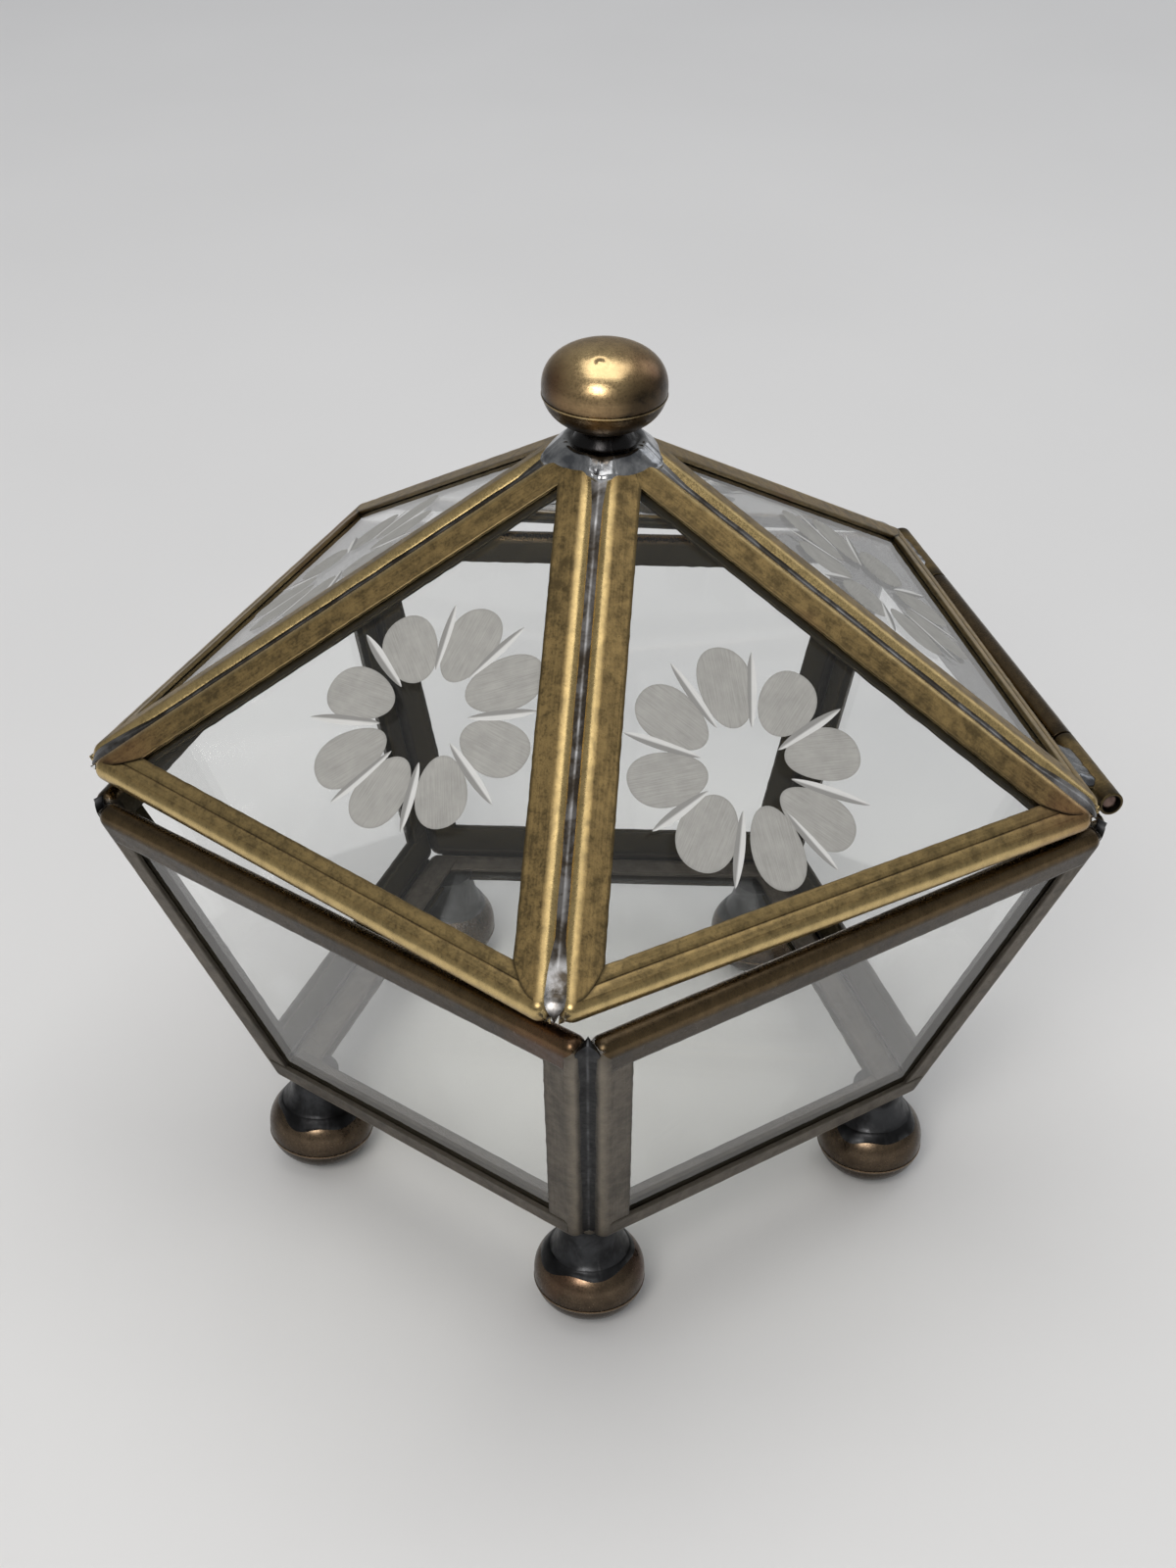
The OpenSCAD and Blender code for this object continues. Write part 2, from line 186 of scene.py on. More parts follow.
def wrapped(points: Array, marks: Marks, uv: Array, finish: int = 0, capped: bool = False) -> Patch:
    """Makes a patch of a grid of points whose columns go round.

    Args:
        points: The points, rows x cols x 3, in millimetres.
        marks: Values for the finish, which spread over rows x cols.
        uv: Surface coordinates, rows x cols x 2.
        finish: Which of the piece's finishes it has.
        capped: Whether its first and last rows are closed with a face.

    Returns:
        The patch. Points that coincide are merged later, by build().
    """
    rows, cols = points.shape[:2]
    faces = grid_faces(rows, cols).tolist()
    if capped:
        faces += [list(range(cols))[::-1], [(rows - 1) * cols + c for c in range(cols)]]
    flat = {name: np.broadcast_to(value, (rows, cols)).reshape(-1) for name, value in marks.items()}
    return Patch(points.reshape(-1, 3), faces, uv.reshape(-1, 2), flat, finish)


def lathe(profile: Array, turns: int, marks: Marks, wobble: float = 0.0, seed: int = 0) -> Patch:
    """Turns a profile of [radius, height] rows round Z, with slow dents if a wobble is given.

    Args:
        profile: Outline from the top to the bottom, closed if its ends lie on the axis or on each other.
        turns: Number of columns round the axis.
        marks: Values for the finish, one for each profile point.
        wobble: How far the dents go, in millimetres.
        seed: Seed of the dents.

    Returns:
        The turned patch.
    """
    angle = round_circle(turns)
    radius, widest = profile[:, :1], profile[:, 0].max()
    dent = np.cos(2 * angle + seed) * 0.4 + np.cos(3 * angle + 2.1 * seed) * 0.35
    dent = dent + np.cos(5 * angle + 0.7 * seed) * 0.25
    r = radius + wobble * dent * np.clip(radius / max(widest, 1e-6), 0, 1)
    uv = np.stack(np.broadcast_arrays(angle * widest / 10, arc_length(profile)[:, None] / 10), -1)
    columns = {name: np.asarray(value, float)[:, None] for name, value in marks.items()}
    patch = wrapped(ring(r, angle, profile[:, 1:]), columns, uv)
    patch.faces = [face[::-1] for face in patch.faces]
    return patch


def build(
    name: str, patches: list[Patch], finishes: list[Material], body: str, nodes: tuple = (),
    sharp_deg: float = 38.0,
) -> None:
    """Makes one object of some patches, dresses it and hangs it on its body.

    Args:
        name: The piece's name.
        patches: Its patches, in millimetres.
        finishes: The materials that the patches' finish numbers name.
        body: The CAD body that it rides on.
        nodes: The CAD nodes that it stands for.
        sharp_deg: Edges that turn by more than this stay crisp.
    """
    starts = np.cumsum([0] + [len(p.points) for p in patches])
    faces = [[i + int(start) for i in face] for p, start in zip(patches, starts) for face in p.faces]
    mesh = bpy.data.meshes.new(name)
    mesh.from_pydata((np.concatenate([p.points for p in patches]) * MM).tolist(), [], faces)
    numbers = np.concatenate([np.full(len(p.faces), p.finish) for p in patches])
    mesh.polygons.foreach_set("material_index", numbers)
    corner_point = np.empty(len(mesh.loops), np.int32)
    mesh.loops.foreach_get("vertex_index", corner_point)
    uv = np.concatenate([p.uv if p.uv is not None else p.points[:, :2] / 10 for p in patches])
    mesh.uv_layers.new(name="along").data.foreach_set("uv", uv[corner_point].astype(np.float32).ravel())
    for mark in sorted({m for p in patches for m in p.marks}):
        values = np.concatenate([p.marks.get(mark, np.zeros(len(p.points))) for p in patches])
        mesh.attributes.new(mark, "FLOAT", "POINT").data.foreach_set("value", values.astype(np.float32))
    work = bmesh.new()
    work.from_mesh(mesh)
    bmesh.ops.remove_doubles(work, verts=work.verts, dist=2e-7)
    bmesh.ops.dissolve_degenerate(work, dist=1e-7, edges=work.edges)
    bmesh.ops.recalc_face_normals(work, faces=work.faces)
    work.to_mesh(mesh)
    work.free()
    for finish in finishes:
        mesh.materials.append(finish)
    mesh.polygons.foreach_set("use_smooth", np.ones(len(mesh.polygons), bool))
    mesh.set_sharp_from_angle(angle=math.radians(sharp_deg))
    mesh.update()
    piece = bpy.data.objects.new(name, mesh)
    bpy.context.scene.collection.objects.link(piece)
    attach(piece, body)
    if nodes:
        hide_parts(*nodes)
    LOG.info("%s: %d faces on %s", name, len(mesh.polygons), body)


def dress(node: str, material: Material) -> None:
    """Gives a CAD node's object one material."""
    piece = frame["nodes"][node]
    if not piece.material_slots:
        piece.data.materials.append(material)
    for slot in piece.material_slots:
        slot.material = material
    LOG.info("%s: dressed in %s", node, material.name)


def centre_of(node: str) -> Array:
    """Gives the middle of a CAD node's box, in millimetres."""
    lo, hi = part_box(node)
    return (np.array(lo) + np.array(hi)) / 2 / MM


# ---- The box's sizes ----


@dataclass(frozen=True)
class Casket:
    """Driving sizes of the box, as its construction has them, and the planes worked out from them."""

    rim_corner_r: float = 64.6
    rim_z: float = 62.2
    base_corner_r: float = 44.3
    base_z: float = 15.3
    lid_overhang: float = 0.5
    lid_lift: float = 1.9
    lid_rise: float = 39.5
    came_t: float = 3.2
    came_depth: float = 4.5
    came_wall: float = 0.5
    glass_t: float = 2.0
    glass_clear: float = 0.08
    joint_gap: float = 0.3
    shell_seam_drop: float = 0.8
    peak_cut_r: float = 5.0
    crown_drop: float = 2.1
    crown_h: float = 4.4
    tube_wall: float = 0.4
    petal_ring_r: float = 10.1
    leaf_ring_r: float = 10.5

    @property
    def came_r(self) -> float:
        """Radius of the channel's rounded back."""
        return self.came_t / 2

    @property
    def lid_corner_r(self) -> float:
        """Distance from the lid's axis to its lower corners."""
        return self.rim_corner_r + self.lid_overhang

    @property
    def lid_z(self) -> float:
        """Height of the lid's lower edge line."""
        return self.rim_z + self.lid_lift

    @property
    def peak_z(self) -> float:
        """Height at which the lid's seam lines would meet."""
        return self.lid_z + self.lid_rise

    def apothem(self, corner_r: float) -> float:
        """Distance from the axis to the edge between two corners."""
        return corner_r * math.cos(HALF_STEP)

    @property
    def side_slope(self) -> float:
        """Slope of the side panes above the horizontal, in radians."""
        flare = self.apothem(self.rim_corner_r) - self.apothem(self.base_corner_r)
        return math.atan2(self.rim_z - self.base_z, flare)

    @property
    def lid_slope(self) -> float:
        """Slope of the lid panes above the horizontal, in radians."""
        return math.atan2(self.lid_rise, self.apothem(self.lid_corner_r))

    def half_dihedral(self, slope: float) -> float:
        """Half of the inside angle between two panes of one slope that meet at a seam."""
        return math.pi / 2 - math.acos(math.sin(slope) ** 2 * math.cos(STEP) + math.cos(slope) ** 2) / 2

    @property
    def foot_half(self) -> float:
        """Half of the inside angle between a side pane and the base."""
        return math.pi / 2 - self.side_slope / 2

    def joint_inset(self, half_angle: float) -> float:
        """How far a channel's back stays from the line where two panes would meet."""
        return (self.came_r + self.joint_gap / 2) / math.sin(half_angle) - self.came_r

    def groove_depth(self, half_angle: float) -> float:
        """Depth of the two channel backs' centre lines under the seam line."""
        return (self.came_r + self.joint_gap / 2) / math.tan(half_angle)


def edge_ways(outline: Array) -> Array:
    """Gives the direction of each edge of an outline."""
    step = np.roll(outline, -1, 0) - outline
    return step / np.linalg.norm(step, axis=1, keepdims=True)


def inset(outline: Array, widths: list[float]) -> Array:
    """Moves each edge of an outline inwards by its own distance and meets the moved edges again."""
    d = edge_ways(outline)
    base = outline + np.stack([-d[:, 1], d[:, 0]], -1) * np.array(widths)[:, None]
    prev_base, prev_d = np.roll(base, 1, 0), np.roll(d, 1, 0)
    across = prev_d[:, 0] * d[:, 1] - prev_d[:, 1] * d[:, 0]
    gap = base - prev_base
    along = (gap[:, 0] * d[:, 1] - gap[:, 1] * d[:, 0]) / across
    return prev_base + prev_d * along[:, None]


@dataclass(frozen=True)
class Layout:
    """Where the box, its lid and its hinge stand, read from the frame, with every pane's plane and outline."""

    size: Casket
    axis: Array
    lid_axis: Array
    lid_turn: float
    hinge_at: Array
    hinge_dir: Array

    @staticmethod
    def from_frame(size: Casket) -> "Layout":
        """Reads the box's axis from the feet, the lid's from the knob and the hinge's from its joint."""
        axis = np.mean([centre_of(f"foot_upper_{n}") for n in range(1, SIDES + 1)], axis=0)[:2]
        joint = frame["joints"][0]
        way = -np.array(joint["axis"], float)
        at = np.array(joint["pos_m"], float) / MM
        return Layout(size, axis, centre_of("knob_upper")[:2], 2 * math.atan2(way[1], way[0]), at, way)

    def box_place(self) -> Place:
        """The box's own axis."""
        return Place(np.eye(3), np.array([*self.axis, 0.0]))

    def lid_place(self) -> Place:
        """The lid's own axis, turned with the lid."""
        return Place(rot_z(self.lid_turn), np.array([*self.lid_axis, 0.0]))

    def pane_place(self, number: int, corner_r: float, z: float, lean: float) -> Place:
        """A pane's plane: x along its lower edge, y up the slope, z out of the box."""
        turn = rot_z(HINGE_DIR + STEP * (number - 1) + math.pi / 2)
        return Place(turn @ rot_x(lean), turn @ np.array([0, -self.size.apothem(corner_r), z]))

    def side(self, number: int) -> Place:
        """The plane of a side pane."""
        s = self.size
        return self.box_place().then(self.pane_place(number, s.base_corner_r, s.base_z, math.pi - s.side_slope))

    def lid_side(self, number: int) -> Place:
        """The plane of a lid pane."""
        s = self.size
        return self.lid_place().then(self.pane_place(number, s.lid_corner_r, s.lid_z, s.lid_slope))

    def base(self) -> Place:
        """The plane of the base pane."""
        return self.box_place().then(Place(rot_z(HINGE_DIR), np.array([0, 0, self.size.base_z])))

    def side_outline(self) -> Array:
        """Outline of a side frame: lower left, lower right, upper right, upper left."""
        s = self.size
        low, high, k = s.apothem(s.base_corner_r), s.apothem(s.rim_corner_r), math.tan(HALF_STEP)
        height = math.hypot(s.rim_z - s.base_z, high - low)
        seam = s.joint_inset(s.half_dihedral(s.side_slope))
        outline = np.array([[-low * k, 0], [low * k, 0], [high * k, height], [-high * k, height]])
        return inset(outline, [s.joint_inset(s.foot_half), seam, 0, seam])

    def lid_outline(self) -> Array:
        """Outline of a lid frame: lower left, lower right, peak."""
        s = self.size
        low, k = s.apothem(s.lid_corner_r), math.tan(HALF_STEP)
        seam = s.joint_inset(s.half_dihedral(s.lid_slope))
        return inset(np.array([[-low * k, 0], [low * k, 0], [0, math.hypot(s.lid_rise, low)]]), [0, seam, seam])

    def base_outline(self) -> Array:
        """Outline of the base frame."""
        s, angle = self.size, STEP * np.arange(SIDES) + HALF_STEP
        corners = s.base_corner_r * np.stack([np.cos(angle), np.sin(angle)], -1)
        return inset(corners, [s.joint_inset(s.foot_half)] * SIDES)


# ---- Finishes ----


class Nodes:
    """The nodes of a material or a world, with short calls that add and join them."""

    def __init__(self, owner: Material | bpy.types.World) -> None:
        """Starts with no node."""
        owner.use_nodes = True
        self.tree = owner.node_tree
        self.tree.nodes.clear()

    def put(self, socket: Socket, value: object) -> None:
        """Sets a socket, or joins it to another one."""
        if isinstance(value, Socket):
            self.tree.links.new(value, socket)
        elif isinstance(value, tuple) and len(value) == 3 and socket.type == "RGBA":
            socket.default_value = (*value, 1.0)
        else:
            socket.default_value = value

    def node(self, kind: str, inputs: dict, output: int = 0, **settings: object) -> Socket:
        """Adds a node with its settings and inputs, by name or number, and gives one of its outputs."""
        node = self.tree.nodes.new("ShaderNode" + kind)
        for key, value in settings.items():
            setattr(node, key, value)
        for key, value in inputs.items():
            self.put(node.inputs[key], value)
        return node.outputs[output]

    def add(self, a: object, b: object) -> Socket:
        """Adds two values, clamped to 0..1."""
        return self.node("Math", {0: a, 1: b}, operation="ADD", use_clamp=True)

    def times(self, a: object, b: object) -> Socket:
        """Multiplies two values, clamped to 0..1."""
        return self.node("Math", {0: a, 1: b}, operation="MULTIPLY", use_clamp=True)

    def close(self, shader: Socket, kind: str) -> None:
        """Joins the shader to the output."""
        self.tree.links.new(shader, self.tree.nodes.new(f"ShaderNodeOutput{kind}").inputs["Surface"])


class Sheet(Nodes):
    """A material's nodes."""

    def __init__(self, name: str) -> None:
        """Starts an empty material of that name."""
        self.material = bpy.data.materials.new(name)
        super().__init__(self.material)
        self.spots = self.tree.nodes.new("ShaderNodeTexCoord")

    def noise(
        self, scale: float, detail: float = 2.0, rough: float = 0.5, warp: float = 0.0, spots: object = None
    ) -> Socket:
        """Adds a noise in object coordinates, or in those given; scale is in features per metre."""
        where = spots if spots is not None else self.spots.outputs["Object"]
        inputs = {"Vector": where, "Scale": scale, "Detail": detail, "Roughness": rough, "Distortion": warp}
        return self.node("TexNoise", inputs)

    def along(self, x: float, y: float) -> Socket:
        """Gives the surface's own coordinates, stretched."""
        return self.node("Mapping", {"Vector": self.spots.outputs["UV"], "Scale": (x, y, 1.0)})

    def rise(self, value: Socket, low: float, high: float, to_low: float = 0.0, to_high: float = 1.0) -> Socket:
        """Maps a value from low..high to to_low..to_high, clamped."""
        inputs = {"Value": value, "From Min": low, "From Max": high, "To Min": to_low, "To Max": to_high}
        return self.node("MapRange", inputs)

    def mix(self, share: object, a: object, b: object) -> Socket:
        """Mixes two colours."""
        return self.node("Mix", {0: share, 6: a, 7: b}, output=2, data_type="RGBA")

    def mark(self, name: str) -> Socket:
        """Reads one of the mesh's own values."""
        return self.node("Attribute", {}, output=2, attribute_name=name)

    def bump(self, height: Socket, strength: float, depth_mm: float, under: Socket | None = None) -> Socket:
        """Adds a bump of that depth, on top of another one if that is given."""
        inputs = {"Height": height, "Strength": strength, "Distance": depth_mm * MM}
        return self.node("Bump", inputs if under is None else {**inputs, "Normal": under})

    def surface(self, colour: object, rough: object, normal: Socket | None = None, **more: object) -> Socket:
        """Adds the general surface shader; what more names are its inputs, with _ for a space."""
        inputs = {"Base Color": colour, "Roughness": rough, **{k.replace("_", " "): v for k, v in more.items()}}
        return self.node("BsdfPrincipled", inputs if normal is None else {**inputs, "Normal": normal})

    def finish(self, shader: Socket) -> Material:
        """Joins the shader to the output and gives the material."""
        self.close(shader, "Material")
        return self.material


def scaled(colour: Colour, share: float) -> Colour:
    """Gives a colour made darker or lighter."""
    return tuple(c * share for c in colour)


@dataclass(frozen=True)
class AntiqueBrass:
    """Folded or pressed brass with a brown patina, rubbed bright where it stands out, with painted shade on
    faces towards the inside.
    """

    name: str
    deep: Colour = (0.095, 0.067, 0.033)
    middle: Colour = (0.34, 0.235, 0.098)
    # Colour of rubbed metal, and of the painted highlights on the knob and feet.
    bright: Colour = (0.72, 0.54, 0.25)
    stain: Colour = (0.24, 0.10, 0.06)
    # Colour of the painted shade on the slot, the inner flange and the back's inner side.
    inside: Colour = (0.045, 0.037, 0.022)
    # Colour of the darkening mark: flux and dark joints, and partly painted shade.
    soot: Colour = (0.020, 0.017, 0.014)
    matt: float = 0.46
    rubbed: float = 0.24
    patchiness: float = 1.0
    stain_from: float = 0.66

    def make(self) -> Material:
        """Builds the material: mottled patina, grain, drawn lines along the strip, rubbed backs and painted
        highlights, heat stains, painted shade.
        """
        s = Sheet(self.name)
        blotch = s.noise(95.0, 3.0, 0.55, 0.3)
        mottle = s.noise(620.0, 4.0, 0.62, 0.2)
        grain = s.noise(3200.0, 3.0, 0.6)
        drawn = s.noise(1.0, 3.0, 0.55, 0.0, s.along(1.2, 34.0))
        rub = s.mark("rub")
        wear_and_light = s.times(rub, s.rise(s.add(mottle, s.times(grain, 0.25)), 0.40, 0.80, 0.62, 1.0))
        tone = s.add(s.times(mottle, 0.42), s.times(grain, 0.26))
        tone = s.add(tone, s.times(blotch, 0.22))
        tone = s.add(tone, s.times(drawn, 0.20))
        colour = s.mix(s.rise(tone, 0.47, 0.62), self.deep, self.middle)
        # Rubbed colour: real wear on the channels, painted highlights on the knob and feet.
        colour = s.mix(wear_and_light, colour, self.bright)
        heat = s.rise(s.noise(38.0, 2.0, 0.5, 0.6), self.stain_from, self.stain_from + 0.10)
        flush = s.times(s.mark("flush"), s.rise(blotch, 0.35, 0.6, 0.35, 1.0))
        colour = s.mix(s.times(s.add(heat, flush), 0.75), colour, self.stain)
        specks = s.times(s.rise(grain, 0.56, 0.70), s.rise(mottle, 0.35, 0.6, 0.15, 0.50))
        specks = s.times(specks, s.rise(rub, 0.3, 0.9, 1.0, 0.25))
        colour = s.mix(specks, colour, scaled(self.deep, 0.45))
        # Painted shade: faces towards the inside go nearly black.
        colour = s.mix(s.mark("inside"), colour, self.inside)
        # Darkened where the mesh marks it: flux and dark joints, and painted shade by the grooves and on the
        # knob's sides.
        colour = s.mix(s.times(s.mark("soot"), s.rise(mottle, 0.25, 0.7, 0.7, 1.0)), colour, self.soot)
        rough = s.rise(rub, 0.0, 1.0, self.matt, self.rubbed)
        rough = s.add(rough, s.rise(grain, 0.3, 0.7, -0.07, 0.10))
        rough = s.add(rough, s.times(s.mark("inside"), 0.18))
        lines = s.bump(drawn, 0.22, 0.035)
        dents = s.bump(mottle, 0.22 * self.patchiness, 0.05, lines)
        return s.finish(s.surface(colour, rough, s.bump(grain, 0.30, 0.012, dents), Metallic=1.0))


@dataclass(frozen=True)
class Solder:
    """Tin solder, from bright and rippled to blackened."""

    name: str
    clean: Colour = (0.44, 0.44, 0.45)
    dull: Colour = (0.15, 0.152, 0.158)
    black: Colour = (0.030, 0.029, 0.030)
    blackened: float = 0.2
    smoothness: float = 0.26

    def make(self) -> Material:
        """Builds the material: ripples across the run, dull patches and black flux stains."""
        s, dark = Sheet(self.name), 0.35 * self.blackened
        patch = s.noise(260.0, 4.0, 0.6, 0.4)
        fine = s.noise(1500.0, 3.0, 0.6)
        ripple = s.noise(1.0, 2.0, 0.5, 0.3, s.along(9.0, 2.0))
        colour = s.mix(s.rise(patch, 0.38, 0.60), self.dull, self.clean)
        soot = s.rise(s.add(s.times(patch, 0.6), s.times(fine, 0.4)), 0.62 - dark, 0.40 - dark)
        soot = s.times(soot, min(1.0, self.blackened * 1.25))
        # Black at random flux stains and where the mesh marks it; a run stays lighter along its painted
        # highlight line.
        colour = s.mix(s.add(soot, s.mark("soot")), colour, self.black)
        rough = s.rise(fine, 0.3, 0.7, self.smoothness - 0.07, self.smoothness + 0.12)
        rough = s.add(rough, s.times(s.mark("soot"), 0.1))
        normal = s.bump(patch, 0.35, 0.12, s.bump(ripple, 0.30, 0.08))
        return s.finish(s.surface(colour, rough, s.bump(fine, 0.18, 0.02, normal), Metallic=1.0))


@dataclass(frozen=True)
class ClearGlass:
    """Clear sheet glass, faintly green, with a little dust; lamps reach through it."""

    name: str
    tint: Colour = (0.994, 1.0, 0.997)

    def make(self) -> Material:
        """Builds the material: glass with slight waviness and handling marks, clear to rays from lamps."""
        s = Sheet(self.name)
        smear = s.noise(60.0, 3.0, 0.6, 0.8)
        specks = s.noise(2600.0, 2.0, 0.5)
        rough = s.add(s.rise(smear, 0.52, 0.75, 0.0, 0.045), s.rise(specks, 0.70, 0.80, 0.0, 0.10))
        wave = s.bump(s.noise(26.0, 1.0, 0.4), 0.10, 0.15)
        glass = s.surface(self.tint, rough, wave, IOR=1.5, Transmission_Weight=1.0)
        clear = s.node("BsdfTransparent", {"Color": self.tint})
        lamp = s.node("LightPath", {}, output=1)
        return s.finish(s.node("MixShader", {0: lamp, 1: glass, 2: clear}))


@dataclass(frozen=True)
class GroundGlass:
    """Glass ground matt by the wheel, with fine lines along the cut."""

    name: str
    colour: Colour = (0.37, 0.362, 0.335)
    # Painted highlight and painted shade of a leaf's two flanks.
    bright: Colour = (0.66, 0.655, 0.63)
    shade: Colour = (0.27, 0.265, 0.25)
    thin: float = 0.88
    thick: float = 0.99

    def make(self) -> Material:
        """Builds the material: matt pale grey in fine lines; a leaf has a painted highlight on one flank and
        painted shade on the other.
        """
        s = Sheet(self.name)
        line = s.noise(1.0, 3.0, 0.65, 0.0, s.along(2.2, 80.0))
        cloud = s.noise(420.0, 3.0, 0.6)
        body = s.add(s.times(line, 0.62), s.times(cloud, 0.38))
        cover = s.rise(body, 0.34, 0.60, self.thin, self.thick)
        colour = s.mix(s.rise(body, 0.34, 0.66), scaled(self.colour, 0.86), scaled(self.colour, 1.08))
        colour = s.mix(s.rise(s.mark("edge"), 0.75, 1.0, 0.0, 0.30), colour, scaled(self.colour, 0.6))
        # Painted light on the leaves: one flank lit, the other shaded.
        groove = s.mix(s.rise(s.mark("flank"), 0.42, 0.58), self.shade, self.bright)
        colour = s.mix(s.mark("leaf"), colour, groove)
        return s.finish(s.surface(colour, 0.66, s.bump(line, 0.3, 0.02), Alpha=cover))


def make_finishes() -> Finishes:
    """Makes every material of the box, by name."""
    looks = [
        AntiqueBrass("lid_brass"),
        AntiqueBrass(
            "rim_brass", (0.013, 0.011, 0.009), (0.042, 0.031, 0.020), (0.18, 0.125, 0.066),
            matt=0.34, stain_from=0.70,
        ),
        AntiqueBrass(
            "grey_brass", (0.080, 0.072, 0.062), (0.165, 0.145, 0.122), (0.27, 0.235, 0.185),
            matt=0.58, rubbed=0.44, stain_from=0.8,
        ),
        AntiqueBrass(
            "knob_brass", (0.12, 0.068, 0.036), (0.34, 0.205, 0.110), (0.80, 0.60, 0.31), (0.34, 0.13, 0.075),
            matt=0.36, rubbed=0.22, patchiness=0.5,
        ),
        AntiqueBrass(
            "foot_brass", (0.022, 0.018, 0.016), (0.052, 0.041, 0.031), (0.26, 0.185, 0.120),
            (0.16, 0.075, 0.045), matt=0.32, rubbed=0.24, patchiness=0.5,
        ),
        Solder("bright_solder", dull=(0.090, 0.075, 0.058), black=(0.024, 0.020, 0.016)),
        Solder("crown_solder", (0.50, 0.51, 0.53), (0.17, 0.18, 0.20), blackened=0.1, smoothness=0.15),
        Solder("dark_solder", (0.16, 0.165, 0.175), (0.05, 0.05, 0.052), (0.013, 0.013, 0.014), 0.85, 0.30),
        Solder("hinge_steel", (0.22, 0.15, 0.125), (0.10, 0.065, 0.055), blackened=0.4),
        ClearGlass("clear_glass"),
        GroundGlass("ground_glass"),
    ]
    return {look.name: look.make() for look in looks}


# ---- Folded channel frames ----


class Corner(Enum):
    """How a bar of a frame ends."""

    COPED_OVER = "its flange laps the neighbour's in a curve"
    COPED_UNDER = "the neighbour's flange laps it in a curve"
    BUTT_OVER = "its flange runs on over the neighbour's"
    BUTT_UNDER = "it stops under the neighbour's flange"
    PEAK = "it is cut back round the peak"


class Part(Enum):
    """The stretches of a channel's section."""

    BACK = 0
    FACE = 1
    LIP = 2
    SLOT = 3
    UNDER = 4


@dataclass(frozen=True)
class BarLook:
    """How one bar is finished: which metal, and where it is dark, scribed, bright or flushed red by heat, and
    its painted shade towards the groove.
    """

    finish: int = 0
    scribed: float = 0.0
    tip_soot: float = 0.35
    # Painted shade, partly a tin film, on the back's side towards the groove.
    groove_film_and_shade: float = 0.0
    dark_turn: float = 0.2
    flush: float = 0.0
    flush_at_end: bool = True
    polish: float = 0.14


@dataclass(frozen=True)
class Section:
    """A channel's closed section, point by point: s inwards from the back, h out of the pane, and marks."""

    s: Array
    h: Array
    part: Array
    turn: Array
    rub: Array
    # Painted shade on faces towards the box's inside.
    inside: Array
    # Darker in the scribed line, towards the flange's edge and on the lip.
    line_and_edge_dark: Array
    arc: Array

    def is_part(self, *parts: Part) -> Array:
        """Tells which points lie on some of the stretches."""
        return np.isin(self.part, [p.value for p in parts])


@dataclass(frozen=True)
class BarEnd:
    """One end of a bar: the outline's corner, the inside angle there and how the end is made."""

    corner: Array
    angle: float
    kind: Corner


